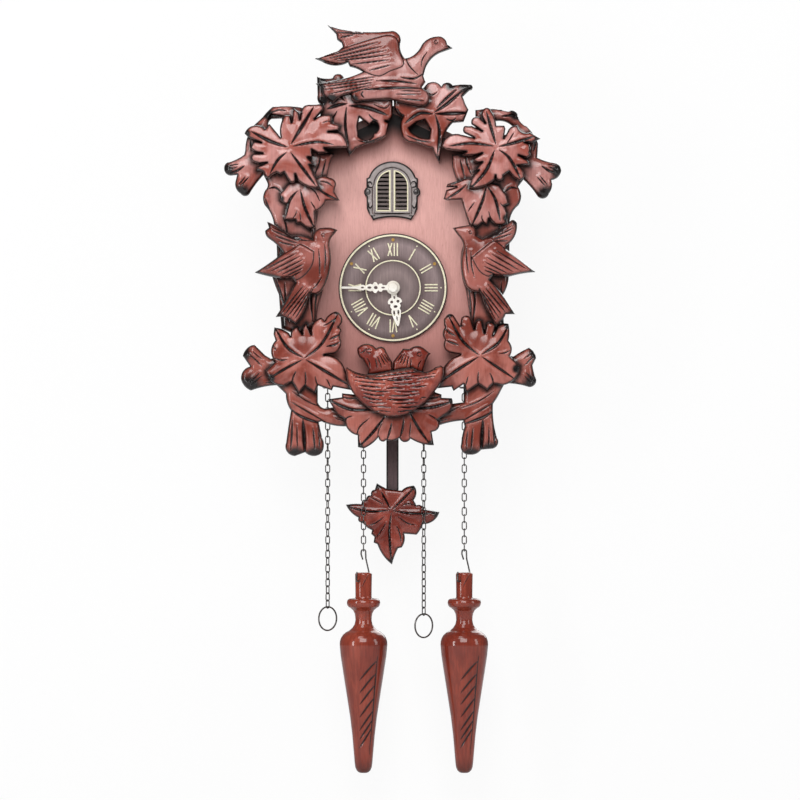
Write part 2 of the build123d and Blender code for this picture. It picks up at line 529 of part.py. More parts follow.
with BuildPart() as dial_rings:
    for outer, inner, height in ((45.3, 43.9, 0.9), (23.6, 22.6, 0.6)):
        with BuildSketch(facing(DIAL_FRONT, 0, DIAL_Z)) as ring_face:
            Circle(outer)
            Circle(inner, mode=Mode.SUBTRACT)
        extrude(ring_face.sketch, amount=height)
save(dial_rings.part, "dial_rings")

with BuildPart() as dial_numerals:
    for hour, numeral in enumerate(NUMERALS, 1):
        width = sum(GLYPH_W[glyph] for glyph in numeral)
        with BuildSketch(facing(DIAL_FRONT, 0, DIAL_Z, hour * 30)) as bars:
            at = -width / 2
            for glyph in numeral:
                middle = at + GLYPH_W[glyph] / 2
                if glyph == "I":
                    with Locations((middle, NUMERAL_R)):
                        Rectangle(BAR_W, NUMERAL_H)
                elif glyph == "V":
                    with Locations((middle - 1, NUMERAL_R)):
                        Rectangle(BAR_W, NUMERAL_H, rotation=10)
                    with Locations((middle + 1, NUMERAL_R)):
                        Rectangle(BAR_W, NUMERAL_H, rotation=-10)
                else:
                    with Locations((middle, NUMERAL_R)):
                        Rectangle(BAR_W, NUMERAL_H + 0.4, rotation=17)
                        Rectangle(BAR_W, NUMERAL_H + 0.4, rotation=-17)
                at += GLYPH_W[glyph]
            with Locations((0, STUD_R)):
                Circle(1.4 if hour in BIG_STUDS else 0.6)
        extrude(bars.sketch, amount=0.8)
save(dial_numerals.part, "dial_numerals")


def hand(outline, cutouts, hub, bore, depth, thickness, turn):
    """Adds a pierced hand: half an outline mirrored about its length, a hub and its openings."""
    with BuildSketch(facing(depth, 0, DIAL_Z, turn)) as face:
        with BuildLine() as half:
            Polyline(*outline)
            mirror(about=Plane.YZ)
        make_face(half.edges())
        Circle(hub)
        for x, y, width, length in cutouts:
            with Locations((x, y)):
                Ellipse(width / 2, length / 2, mode=Mode.SUBTRACT)
        Circle(bore, mode=Mode.SUBTRACT)
    extrude(face.sketch, amount=thickness)


MINUTE_OUTLINE = [
    (0, 4), (2.2, 4), (2, 8.6), (3.4, 9.6), (3.4, 11.4), (2.2, 12.6), (4.6, 14.2), (4.6, 16),
    (2.6, 17.4), (3.2, 19.4), (2.3, 22), (1.5, 23.4), (2.4, 25.4), (2.2, 27.4), (0.9, 31.5),
    (0.9, 43.4), (0, 44.2),
]
MINUTE_CUTS = [(0, 8.4, 1.5, 3), (0, 14.6, 2.8, 3.2), (0, 20, 2, 3.4), (0, 26, 1.5, 2.8)]
HOUR_OUTLINE = [
    (0, 4), (2.4, 4), (2.4, 8.2), (5, 9.6), (6, 11.6), (6, 13), (4, 14), (4.6, 16), (3.4, 18),
    (4.2, 20.4), (3.3, 25), (1.1, 32), (0, 33.4),
]
HOUR_CUTS = [(0, 8.4, 1.5, 2.6), (-2.7, 12, 2.6, 2.4), (2.7, 12, 2.6, 2.4), (0, 16.2, 3.4, 2.4),
             (-1.8, 21.6, 1.7, 4.6), (1.8, 21.6, 1.7, 4.6), (0, 26.4, 1, 4)]
ARBOR_R = 2
TUBE_R = 3
HOUR_HAND_DEPTH = 94.2
MINUTE_HAND_DEPTH = 97

with BuildPart() as hour_hand:
    hand(HOUR_OUTLINE, HOUR_CUTS, 5.9, TUBE_R, HOUR_HAND_DEPTH, 1, 172.5)
save(hour_hand.part, "hour_hand")
with BuildPart() as minute_hand:
    hand(MINUTE_OUTLINE, MINUTE_CUTS, 5.4, ARBOR_R, MINUTE_HAND_DEPTH, 1, 270)
save(minute_hand.part, "minute_hand")
with BuildPart() as hand_cap:
    rod(4.2, MINUTE_HAND_DEPTH + 1, MINUTE_HAND_DEPTH + 3.5, 0, DIAL_Z)
    fillet(hand_cap.faces().sort_by(Axis.Y)[0].edges(), 1.4)
    rod(ARBOR_R, MINUTE_HAND_DEPTH + 1, MINUTE_HAND_DEPTH + 2, 0, DIAL_Z, Mode.SUBTRACT)
save(hand_cap.part, "hand_cap")


# ---- movement -------------------------------------------------------------------------------
def gear(teeth, pitch_r, depth0, depth1, x, first):
    """Adds a spur wheel; first is the anticlockwise angle of a tooth seen from the front."""
    module = 2 * pitch_r / teeth
    root = pitch_r - 1.25 * module
    tip = pitch_r + 0.8 * module
    with BuildSketch(facing(depth0, x, DIAL_Z)) as face:
        Circle(root)
        with PolarLocations((root + tip) / 2 - 0.1 * module, teeth, start_angle=first):
            Rectangle(tip - root + 0.2 * module, 1.05 * module)
    extrude(face.sketch, amount=depth1 - depth0)


with BuildPart() as movement_case:
    half = MOVEMENT_HALF
    block(-half, half, MOVEMENT_BACK + 2, MOVEMENT_FRONT, MOVEMENT_BOTTOM, MOVEMENT_TOP)
    block(2 - half, half - 2, MOVEMENT_BACK + 2, MOVEMENT_FRONT - 2, MOVEMENT_BOTTOM + 2,
          MOVEMENT_TOP - 2, Mode.SUBTRACT)
    for side in (-1, 1):
        x = sorted((side * 25.2, side * 27.2))
        block(x[0], x[1], 56, MOVEMENT_FRONT - 2, MOVEMENT_BOTTOM + 2, -133)
    rod(5, MOVEMENT_FRONT, 93.5, 0, DIAL_Z)
    rod(TUBE_R + RUNNING, MOVEMENT_FRONT - 2, 93.5, 0, DIAL_Z, Mode.SUBTRACT)
    rod(1 + RUNNING, MOVEMENT_FRONT - 2, MOVEMENT_FRONT - 0.6, TRAIN_CENTRES, DIAL_Z, Mode.SUBTRACT)
save(movement_case.part, "movement_case")

with BuildPart() as movement_cover:
    block(-MOVEMENT_HALF, MOVEMENT_HALF, MOVEMENT_BACK, MOVEMENT_BACK + 2, MOVEMENT_BOTTOM,
          MOVEMENT_TOP)
    rod(3, MOVEMENT_BACK + 2, 60, 0, DIAL_Z)
    rod(1 + RUNNING, MOVEMENT_BACK + 1, 60, 0, DIAL_Z, Mode.SUBTRACT)
    rod(1.5 + RUNNING, MOVEMENT_BACK, MOVEMENT_BACK + 2, TRAIN_CENTRES, DIAL_Z, Mode.SUBTRACT)
save(movement_cover.part, "movement_cover")

with BuildPart() as minute_arbor:
    gear(12, 3, 66, 69.5, 0, 0)
    rod(ARBOR_R, 69.5, MINUTE_HAND_DEPTH + 2, 0, DIAL_Z)
    rod(ARBOR_R, 61, 66, 0, DIAL_Z)
    rod(1, MOVEMENT_BACK + 1.3, 61, 0, DIAL_Z)
save(minute_arbor.part, "minute_arbor")

with BuildPart() as minute_wheel:
    gear(36, 9, 66.5, 69, TRAIN_CENTRES, 185)
    gear(10, 2.4, 69, 73.4, TRAIN_CENTRES, 180)
    rod(1, 73.4, MOVEMENT_FRONT - 0.8, TRAIN_CENTRES, DIAL_Z)
    rod(1.5, 47, 66.5, TRAIN_CENTRES, DIAL_Z)
    rod(7, 42, 47, TRAIN_CENTRES, DIAL_Z)
save(minute_wheel.part, "minute_wheel")

with BuildPart() as hour_wheel:
    gear(40, 9.6, 70.5, 72.8, 0, 4.5)
    rod(TUBE_R, 72.8, 96.5, 0, DIAL_Z)
    rod(ARBOR_R + RUNNING, 70.5, 96.5, 0, DIAL_Z, Mode.SUBTRACT)
save(hour_wheel.part, "hour_wheel")

CELL_R = 7.1
CELL_L = 50
CELL_DEPTH = 64
with BuildPart() as batteries:
    for z, end in ((MOVEMENT_BOTTOM + 2 + CELL_R, 1), (MOVEMENT_BOTTOM + 2 + 3 * CELL_R, -1)):
        with BuildSketch(Plane(origin=(-CELL_L / 2, -CELL_DEPTH, z), z_dir=(1, 0, 0))):
            Circle(CELL_R)
        extrude(amount=CELL_L - 1)
        with BuildSketch(Plane(origin=(-CELL_L / 2, -CELL_DEPTH, z), z_dir=(1, 0, 0))):
            Circle(2.6)
        extrude(amount=CELL_L)
save(batteries.part, "batteries")

with BuildPart() as speaker:
    rod(18, BACK_PANEL_T, 9, 0, SPEAKER_Z)
    with BuildSketch(facing(9, 0, SPEAKER_Z)) as basket:
        Circle(17)
    extrude(basket.sketch, amount=5, taper=40)
    rod(8, 14, 18, 0, SPEAKER_Z)
    rod(15, BACK_PANEL_T, 8, 0, SPEAKER_Z, Mode.SUBTRACT)
save(speaker.part, "speaker")

with BuildPart() as volume_switch:
    inner = CASE_HALF - WALL
    block(inner - 2, inner, SWITCH_DEPTH - 4, SWITCH_DEPTH + 4, SWITCH_Z - 5, SWITCH_Z + 5)
    block(inner, CASE_HALF + 2.5, SWITCH_DEPTH - 1.8, SWITCH_DEPTH + 1.8, SWITCH_Z - 2, SWITCH_Z + 2)
save(volume_switch.part, "volume_switch")

# ---- cuckoo, shutters and their surround -----------------------------------------------------
def beside_door(points, side):
    """Points measured from the doorway's middle line, placed on one side of it."""
    return [(DOOR_X + side * x, z) for x, z in points]


def surround_outline():
    """The doorway surround: arched head, shoulders, screw ears and a hollowed foot."""
    foot = [(16.3, -59.5), (18.5, -55.5), (20.3, -52.8), (21.6, -49.6)]
    ear = [(21.8, -39.4), (24, -35.5), (21.8, -31.8)]
    shoulder = [(22, -24), (19.8, -22.8)]
    arch = [(14.5, -14.8), (0, -9.5), (-14.5, -14.8), (-19.8, -22.8)]
    return [
        *beside_door([*foot[1:], ear[0]], 1),
        beside_door(ear[1:], 1),
        *beside_door(shoulder, 1),
        beside_door(arch, 1),
        *beside_door([shoulder[0], ear[2]], -1),
        beside_door(ear[1::-1], -1),
        *beside_door(foot[::-1], -1),
        beside_door([(0, -57), foot[0]], 1),
    ]


BARREL_R = 0.9
BARREL_TOP = -31.2
with BuildPart() as shutter_surround:
    carve(surround_outline(), PANEL_FRONT, SHUTTER_AXIS, holes=[doorway(DOORWAY_R, DOOR_FOOT - 0.5)])
    block(DOOR_X - SHUTTER_HINGE - 1.2, DOOR_X + SHUTTER_HINGE + 1.2, PANEL_FRONT, SHUTTER_AXIS,
          DOOR_FOOT - 0.5, BARREL_TOP + 0.2, Mode.SUBTRACT)
    for side in (-1, 1):
        x = DOOR_X + side * SHUTTER_HINGE
        with BuildSketch(Plane.XY.offset(DOOR_FOOT - 1.5)):
            with Locations((x, -SHUTTER_AXIS)):
                Circle(0.4)
        extrude(amount=BARREL_TOP - DOOR_FOOT + 3)
    for x, z in SURROUND_SCREWS:
        rod(1, PANEL_FRONT, SHUTTER_AXIS, x, z, Mode.SUBTRACT)
save(shutter_surround.part, "shutter_surround")

with BuildPart() as surround_screws:
    for x, z in SURROUND_SCREWS:
        rod(1, PANEL_BACK + 1, SHUTTER_AXIS, x, z)
        rod(2.3, SHUTTER_AXIS, SHUTTER_AXIS + 1.2, x, z)
        block(x - 1.9, x + 1.9, SHUTTER_AXIS + 0.6, SHUTTER_AXIS + 1.2, z - 0.3, z + 0.3,
              Mode.SUBTRACT)
save(surround_screws.part, "surround_screws")


def half_arch(side, near, far, foot, radius):
    """One leaf of the arched doorway, from near the middle line out to the given half width."""
    top = (radius**2 - near**2) ** 0.5
    mid = (radius * cos(radians(52)), radius * sin(radians(52)))
    return [
        (DOOR_X + side * near, foot),
        (DOOR_X + side * far, foot),
        (DOOR_X + side * far, DOOR_SPRING),
        ((DOOR_X + side * mid[0], DOOR_SPRING + mid[1]), (DOOR_X + side * near, DOOR_SPRING + top)),
    ]


def shutter(side):
    """Adds an arched leaf: a frame with sloping louvres and a hinge barrel at its outer edge."""
    back = SHUTTER_AXIS - 2.4
    front = SHUTTER_AXIS - 0.2
    x = DOOR_X + side * SHUTTER_HINGE
    carve(half_arch(side, 0.2, SHUTTER_R, DOOR_FOOT, SHUTTER_R), back, front,
          holes=[half_arch(side, 2.6, 12.7, -50.9, 12.7)])
    with BuildPart(mode=Mode.PRIVATE) as slats:
        for row in range(10):
            z = -49.4 + row * LOUVRE_PITCH
            with BuildSketch(Plane(origin=(DOOR_X + side * 7.65, -(back + front) / 2, z),
                                   x_dir=(1, 0, 0), z_dir=(0, -0.82, 0.57))):
                Rectangle(12, 2.2)
            extrude(amount=0.35, both=True)
        with BuildSketch(facing(back)) as window:
            make_face(trace(half_arch(side, 2.2, 13.1, -51.3, 13.1)))
        extrude(window.sketch, amount=front - back, mode=Mode.INTERSECT)
    add(slats.part)
    barrel = Plane.XY.offset(DOOR_FOOT + 0.2)
    with BuildSketch(barrel) as ring:
        with Locations((x, -SHUTTER_AXIS)):
            Circle(BARREL_R)
        with Locations((x - side * 0.6, -SHUTTER_AXIS + 0.9)):
            Rectangle(1.2, 1.6)
        with Locations((x, -SHUTTER_AXIS)):
            Circle(0.4 + RUNNING, mode=Mode.SUBTRACT)
    extrude(ring.sketch, amount=BARREL_TOP - DOOR_FOOT - 0.4)


with BuildPart() as left_shutter:
    shutter(-1)
save(left_shutter.part, "left_shutter")
with BuildPart() as right_shutter:
    shutter(1)
save(right_shutter.part, "right_shutter")

RAIL_Z = -61
RAIL_X = 4.5
RAIL_R = 1.5
with BuildPart() as carriage_rail:
    block(-10, 10, PANEL_BACK - 2, PANEL_BACK, RAIL_Z - 5, RAIL_Z + 5)
    block(-10, 10, 20, 22, RAIL_Z - 5, RAIL_Z + 5)
    for x in (-RAIL_X, RAIL_X):
        rod(RAIL_R, 22, PANEL_BACK - 2, x, RAIL_Z)
save(carriage_rail.part, "carriage_rail")

with BuildPart() as cuckoo_carriage:
    block(-8, 8, 28, 46, RAIL_Z - 3.5, RAIL_Z + 3.5)
    for x in (-RAIL_X, RAIL_X):
        rod(RAIL_R + RUNNING, 28, 46, x, RAIL_Z, Mode.SUBTRACT)
    block(-2, 2, 36, 44, RAIL_Z + 3.5, -50.4)
    block(-2, 2, 44, 68, -52.6, -50.4)
save(cuckoo_carriage.part, "cuckoo_carriage")

with BuildPart() as cuckoo:
    with BuildSketch(Plane(origin=(0, -62, -50.4), z_dir=(0, 0, 1))):
        Ellipse(4.6, 7)
    with BuildSketch(Plane(origin=(0, -62.5, -43), z_dir=(0, 0, 1))):
        Ellipse(5.4, 7.6)
    with BuildSketch(Plane(origin=(0, -65, -36), z_dir=(0, 0, 1))):
        Ellipse(3.6, 4.8)
    loft()
    with Locations((0, -66, -33.4)):
        Sphere(4.4)
    with BuildSketch(facing(69, 0, -33.8)):
        Circle(1.6)
    extrude(amount=9, taper=8)
    with BuildSketch(Plane(origin=(0, -56, -45), x_dir=(1, 0, 0), z_dir=(0, 0.94, -0.34))):
        Ellipse(3.6, 1.6)
    extrude(amount=9)
save(cuckoo.part, "cuckoo")

# ---- pendulum -------------------------------------------------------------------------------
BOB = [
    (-13.9, -283.8), (-5.8, -288.6), (7.5, -290), ((12, -287), (18, -285.8)),
    ((19.8, -289.5), (17.7, -298.4)), (20.2, -302.6), ((24, -302.6), (26.5, -306.1)), (39.8, -308.6),
    ((35, -316), (25.8, -319.1)), ((23, -324.5), (20.2, -328.2)), (9.6, -327.3),
    ((10, -333), (7.5, -339.1)), (4.4, -339.8), ((1.5, -346), (-0.9, -353.7)),
    ((-8.5, -346), (-13.5, -336.3)), (-16.7, -334.9), (-16, -330), (-18.8, -327.5),
    (-18.1, -324.4), (-21.9, -322.3), (-26.8, -317.7), ((-29.8, -316), (-29.7, -313.5)),
    ((-36, -309), (-40.5, -302.3)), ((-34, -301.4), (-27.2, -301.6)), ((-26, -299), (-23, -297.7)),
    ((-21.8, -295), (-18.8, -294.2)), ((-18.5, -291), (-15.6, -289.3)),
]
with BuildPart() as pendulum_bracket:
    block(PENDULUM_X - 9, PENDULUM_X + 9, MOVEMENT_BACK - 2, MOVEMENT_BACK, PIVOT_Z - 8, PIVOT_Z + 8)
    rod(1.5, 36.5, MOVEMENT_BACK - 2, PENDULUM_X, PIVOT_Z)
    rod(3, 35, 36.5, PENDULUM_X, PIVOT_Z)
save(pendulum_bracket.part, "pendulum_bracket")

with BuildPart() as pendulum_rod:
    rod(7, ROD_BACK, ROD_FRONT, PENDULUM_X, PIVOT_Z)
    block(PENDULUM_X - ROD_W / 2, PENDULUM_X + ROD_W / 2, ROD_BACK, ROD_FRONT, -305, PIVOT_Z)
    rod(1.5 + RUNNING, ROD_BACK, ROD_FRONT, PENDULUM_X, PIVOT_Z, Mode.SUBTRACT)
save(pendulum_rod.part, "pendulum_rod")

with BuildPart() as pendulum_bob:
    carve(BOB, ROD_FRONT, BOB_FRONT)
save(pendulum_bob.part, "pendulum_bob")

# ---- chains, rings, hooks and weights --------------------------------------------------------
INNER_L = CHAIN_PITCH + 0.1
BEND_R = (LINK_W - LINK_WIRE) / 2
STRAIGHT = INNER_L + LINK_WIRE - 2 * BEND_R


def chain_link():
    """One oval link of round wire, lying in the XZ plane about its own middle."""
    with BuildPart() as link:
        with BuildLine(Plane.XZ) as path:
            right = Line((BEND_R, -STRAIGHT / 2), (BEND_R, STRAIGHT / 2))
            top = ThreePointArc(right @ 1, (0, STRAIGHT / 2 + BEND_R), (-BEND_R, STRAIGHT / 2))
            left = Line(top @ 1, (-BEND_R, -STRAIGHT / 2))
            ThreePointArc(left @ 1, (0, -STRAIGHT / 2 - BEND_R), right @ 0)
        with BuildSketch(Plane(origin=(BEND_R, 0, 0), z_dir=(0, 0, 1))):
            Circle(LINK_WIRE / 2)
        sweep(path=path.line)
    return link.part


LINK = chain_link()
FIRST_LINK_Z = STAPLE_Z + STAPLE_BAR + 0.05 - INNER_L / 2


def strand(x, count, twist=0):
    """Adds a hanging run of links, each a quarter turn from the one above, plus an even twist."""
    for i in range(count):
        turn = 90 * (i + 1) + twist * i / (count - 1)
        add(Pos(x, -CHAIN_DEPTH, FIRST_LINK_Z - i * CHAIN_PITCH) * Rot(0, 0, turn) * LINK)


def last_wire_z(count):
    """Height of the lowest link's bottom wire centre."""
    return FIRST_LINK_Z - (count - 1) * CHAIN_PITCH - INNER_L / 2 - LINK_WIRE / 2


PULL_RING = Torus((RING_OD - RING_WIRE) / 2, RING_WIRE / 2)
for name in ("left", "right"):
    x, count, twist = RING_CHAINS[name]
    ring_z = last_wire_z(count) + LINK_WIRE / 2 + RING_WIRE / 2 + 0.05 - (RING_OD - RING_WIRE) / 2
    ring = Pos(x, -CHAIN_DEPTH, ring_z) * Rot(0, 0, RING_TURN) * Rot(90, 0, 0) * PULL_RING
    with BuildPart() as ring_chain:
        strand(x, count, twist)
        add(ring)
    save(ring_chain.part, f"{name}_ring_chain")
    with BuildPart() as weight_chain:
        strand(WEIGHT_CHAINS[name], WEIGHT_LINKS)
    save(weight_chain.part, f"{name}_weight_chain")

with BuildPart() as chain_staples:
    for x in CHAIN_HOLES:
        with BuildLine() as bar:
            FilletPolyline(
                (x - 4, -CHAIN_DEPTH, CASE_FLOOR + FLOOR_T - 1),
                (x - 4, -CHAIN_DEPTH, STAPLE_Z),
                (x + 4, -CHAIN_DEPTH, STAPLE_Z),
                (x + 4, -CHAIN_DEPTH, CASE_FLOOR + FLOOR_T - 1),
                radius=1.2,
            )
        with BuildSketch(Plane(origin=bar.line @ 0, z_dir=bar.line % 0)):
            Circle(STAPLE_BAR)
        sweep(path=bar.line)
save(chain_staples.part, "chain_staples")

HOOK_TOP = last_wire_z(WEIGHT_LINKS) + (LINK_WIRE + HOOK_WIRE) / 2 + 0.05
HOOK_PATH = [
    (-0.6, 0, -8.4), (-2.1, 0, -3.4), (-1.75, 0, 0), (1.75, 0, 0), (2, 0, -7.4), (4.6, -0.4, -19),
    (3.6, -0.9, -22.5), (-6, -8.4, -27.6), (-5.6, -8.8, -18.6),
]
HOOK_BENDS = [1.6, 1.3, 1.3, 3, 1.2, 1.5, 1.5]
WEIGHT_TOP = -360.2


def hook(x):
    """The bent wire hook that hangs in the last link and is clinched through the weight's neck."""
    with BuildPart() as wire:
        with BuildLine() as path:
            FilletPolyline(
                *[(x + dx, -CHAIN_DEPTH + dy, HOOK_TOP + dz) for dx, dy, dz in HOOK_PATH],
                radius=HOOK_BENDS,
            )
        with BuildSketch(Plane(origin=path.line @ 0, z_dir=path.line % 0)):
            Circle(HOOK_WIRE / 2)
        sweep(path=path.line)
    return wire.part


def turned_weight(x):
    """Adds a turned weight: neck, collar, cove, full body and a long taper to a rounded tip."""
    with BuildSketch(Plane(origin=(x, -CHAIN_DEPTH, 0), x_dir=(1, 0, 0), z_dir=(0, -1, 0))) as half:
        with BuildLine():
            Polyline((0, WEIGHT_TOP), (6.2, WEIGHT_TOP), (7.4, -361.6), (6.9, -381.6), (12.8, -382.6))
            ThreePointArc((12.8, -382.6), (14.3, -386), (13.2, -389.6))
            Line((13.2, -389.6), (11.5, -390.4))
            ThreePointArc((11.5, -390.4), (7.2, -396), (6.9, -401))
            ThreePointArc((6.9, -401), (9.5, -407.5), (15, -411.3))
            ThreePointArc((15, -411.3), (19.3, -416), (20.4, -422))
            Spline((20.4, -422), (17, -448), (11, -486), (7.6, -523.4))
            ThreePointArc((7.6, -523.4), (6.4, -529.4), (3, -531.8))
            Polyline((3, -531.8), (0, -531.8), (0, WEIGHT_TOP))
        make_face()
    revolve(half.sketch, axis=Axis((x, -CHAIN_DEPTH, 0), (0, 0, 1)))


def hook_bore(x, start, end):
    """Drills the neck for the hook wire, from 1 mm before one of its points to 1 mm past the next."""
    a, b = (Vector(x + p[0], p[1] - CHAIN_DEPTH, p[2] + HOOK_TOP) for p in (start, end))
    past = (b - a).normalized()
    with BuildSketch(Plane(origin=a - past, z_dir=b - a)) as face:
        Circle(HOOK_WIRE / 2 + 0.45)
    extrude(face.sketch, amount=(b - a).length + 2, mode=Mode.SUBTRACT)


for name, x in WEIGHT_CHAINS.items():
    with BuildPart() as weight_hook:
        add(hook(x))
    save(weight_hook.part, f"{name}_weight_hook")
    with BuildPart() as weight:
        turned_weight(x)
        hook_bore(x, HOOK_PATH[5], HOOK_PATH[6])
        hook_bore(x, HOOK_PATH[6], HOOK_PATH[7])
    save(weight.part, f"{name}_weight")
    print(name, "hinge at", x, -CHAIN_DEPTH, last_wire_z(WEIGHT_LINKS))
print("staple hinge z", STAPLE_Z)
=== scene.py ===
import math

import bmesh
import bpy
import numpy as np
from mathutils import Matrix, Vector
from mathutils.geometry import delaunay_2d_cdt
from mathutils.kdtree import KDTree


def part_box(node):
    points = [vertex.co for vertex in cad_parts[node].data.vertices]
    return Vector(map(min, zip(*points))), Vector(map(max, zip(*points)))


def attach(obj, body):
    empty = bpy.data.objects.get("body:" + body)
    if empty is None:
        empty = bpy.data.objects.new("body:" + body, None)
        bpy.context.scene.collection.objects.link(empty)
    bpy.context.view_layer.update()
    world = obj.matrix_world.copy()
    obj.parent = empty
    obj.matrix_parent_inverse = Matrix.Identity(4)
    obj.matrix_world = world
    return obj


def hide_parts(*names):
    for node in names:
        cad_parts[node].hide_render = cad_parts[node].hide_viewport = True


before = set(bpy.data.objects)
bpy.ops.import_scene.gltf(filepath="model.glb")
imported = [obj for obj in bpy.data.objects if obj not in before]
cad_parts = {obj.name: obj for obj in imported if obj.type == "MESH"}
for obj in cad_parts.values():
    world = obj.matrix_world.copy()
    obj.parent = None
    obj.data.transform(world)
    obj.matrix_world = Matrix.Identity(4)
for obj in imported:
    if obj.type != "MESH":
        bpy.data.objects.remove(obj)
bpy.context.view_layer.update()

# ---- where the clock is seen from -------------------------------------------------------------
# The clock hangs at eye level and is seen straight on through a long lens, so that its
# carvings keep their proportions from the wall out to the nest.
VIEW_WIDTH = 0.680
VIEW_DISTANCE = 5.0
VIEW_DEPTH = 0.095
VIEW_MIDDLE = (0.00595, -0.2125)
camera_data = bpy.data.cameras.new("camera")
camera_data.sensor_width = 36
camera_data.lens = camera_data.sensor_width * VIEW_DISTANCE / VIEW_WIDTH
camera = bpy.data.objects.new("camera", camera_data)
camera.location = (VIEW_MIDDLE[0], -VIEW_DEPTH - VIEW_DISTANCE, VIEW_MIDDLE[1])
camera.rotation_euler = (math.radians(90), 0, 0)
bpy.context.scene.collection.objects.link(camera)
bpy.context.scene.camera = camera


# ---- the studio -------------------------------------------------------------------------------
# A white wall that the clock hangs on, a pale floor below it, and soft light from panels: two high
# in front for the varnish to shine under, a low fill, one behind, and a strip at each side.
def tint(r, g, b):
    """A paint chip's colour, 0 to 255, as the linear colour that a shader takes."""
    parts = [v / 255 for v in (r, g, b)]
    return tuple(v / 12.92 if v < 0.04045 else ((v + 0.055) / 1.055) ** 2.4 for v in parts) + (1,)


def put(tree, kind, values=(), **settings):
    """Adds a node. Each value goes to a socket by name or number, or joins another's output."""
    made = tree.nodes.new(kind)
    for key, value in settings.items():
        setattr(made, key, value)
    for socket, value in values:
        if isinstance(value, bpy.types.NodeSocket):
            tree.links.new(value, made.inputs[socket])
        else:
            made.inputs[socket].default_value = value
    return made


def new_material(name):
    """An empty material and its node tree."""
    material = bpy.data.materials.new(name)
    material.use_nodes = True
    material.node_tree.nodes.clear()
    return material, material.node_tree


WALL_GAP = 0.0015
FLOOR_Z = -0.62
wall_paint, tree = new_material("studio_wall_paint")
light_path = put(tree, "ShaderNodeLightPath")
facing_in = put(tree, "ShaderNodeNewGeometry")
seen = put(tree, "ShaderNodeMath", [(0, light_path.outputs["Is Camera Ray"]),
                                    (1, facing_in.outputs["Backfacing"])], operation="SUBTRACT")
chalk = put(tree, "ShaderNodeBsdfDiffuse", [("Color", (0.85, 0.85, 0.85, 1))])
glow = put(tree, "ShaderNodeEmission", [("Color", (1, 1, 1, 1)), ("Strength", 1.0)])
lit = put(tree, "ShaderNodeMixShader", [(0, 0.9), (1, chalk.outputs[0]), (2, glow.outputs[0])])
clear = put(tree, "ShaderNodeBsdfTransparent")
wall_mix = put(tree, "ShaderNodeMixShader", [(0, seen.outputs[0]), (1, clear.outputs[0]),
                                             (2, lit.outputs[0])])
put(tree, "ShaderNodeOutputMaterial", [("Surface", wall_mix.outputs[0])])
floor_paint, tree = new_material("studio_floor_paint")
speckle = put(tree, "ShaderNodeTexNoise", [("Scale", 60.0), ("Detail", 4.0)])
pale = put(tree, "ShaderNodeValToRGB", [("Fac", speckle.outputs["Fac"])])
pale.color_ramp.elements[0].color = (0.76, 0.76, 0.77, 1)
pale.color_ramp.elements[1].color = (0.84, 0.84, 0.84, 1)
floor_shader = put(tree, "ShaderNodeBsdfDiffuse", [("Color", pale.outputs["Color"])])
put(tree, "ShaderNodeOutputMaterial", [("Surface", floor_shader.outputs[0])])


def studio_sheet(name, corners, material):
    """One flat sheet of the studio, which isn't part of the clock."""
    mesh = bpy.data.meshes.new(name)
    mesh.from_pydata(corners, [], [(0, 1, 2, 3)])
    mesh.materials.append(material)
    sheet = bpy.data.objects.new(name, mesh)
    bpy.context.scene.collection.objects.link(sheet)


studio_sheet("studio_wall", [(-3, WALL_GAP, FLOOR_Z), (3, WALL_GAP, FLOOR_Z),
                             (3, WALL_GAP, 2.5), (-3, WALL_GAP, 2.5)], wall_paint)
studio_sheet("studio_floor", [(-3, -4, FLOOR_Z), (3, -4, FLOOR_Z),
                              (3, 3, FLOOR_Z), (-3, 3, FLOOR_Z)], floor_paint)
LIGHTS = [  # name, place, aim, width, height, watts
    ("sheen", (-0.1, -2.1, 0.92), (0, 0, -0.15), 1.3, 1.3, 29),
    ("high_front", (-0.5, -1.5, 1.7), (0, 0, -0.05), 1.0, 1.0, 13),
    ("low_fill", (0.3, -2.2, -1.1), (0, 0, -0.3), 1.2, 1.2, 3),
    ("left_strip", (-1.6, -1.3, -0.15), (0, 0, -0.2), 0.26, 1.6, 14),
    ("right_side", (1.8, -0.9, 0.2), (0, 0, -0.2), 0.5, 1.0, 6),
    ("behind", (0.4, 2.0, 0.9), (0, 0, -0.2), 1.8, 1.8, 22),
]
for name, place, aim, width, height, watts in LIGHTS:
    panel = bpy.data.lights.new(name, "AREA")
    panel.shape = "RECTANGLE"
    panel.size = width
    panel.size_y = height
    panel.energy = watts
    lamp = bpy.data.objects.new(name, panel)
    lamp.location = place
    lamp.visible_camera = False
    lamp.rotation_euler = (Vector(aim) - Vector(place)).to_track_quat("-Z", "Y").to_euler()
    bpy.context.scene.collection.objects.link(lamp)
world = bpy.data.worlds.new("studio_air")
world.use_nodes = True
world.node_tree.nodes["Background"].inputs["Color"].default_value = (1, 1, 1, 1)
world.node_tree.nodes["Background"].inputs["Strength"].default_value = 0.13
bpy.context.scene.world = world
bpy.context.scene.view_settings.view_transform = "Standard"


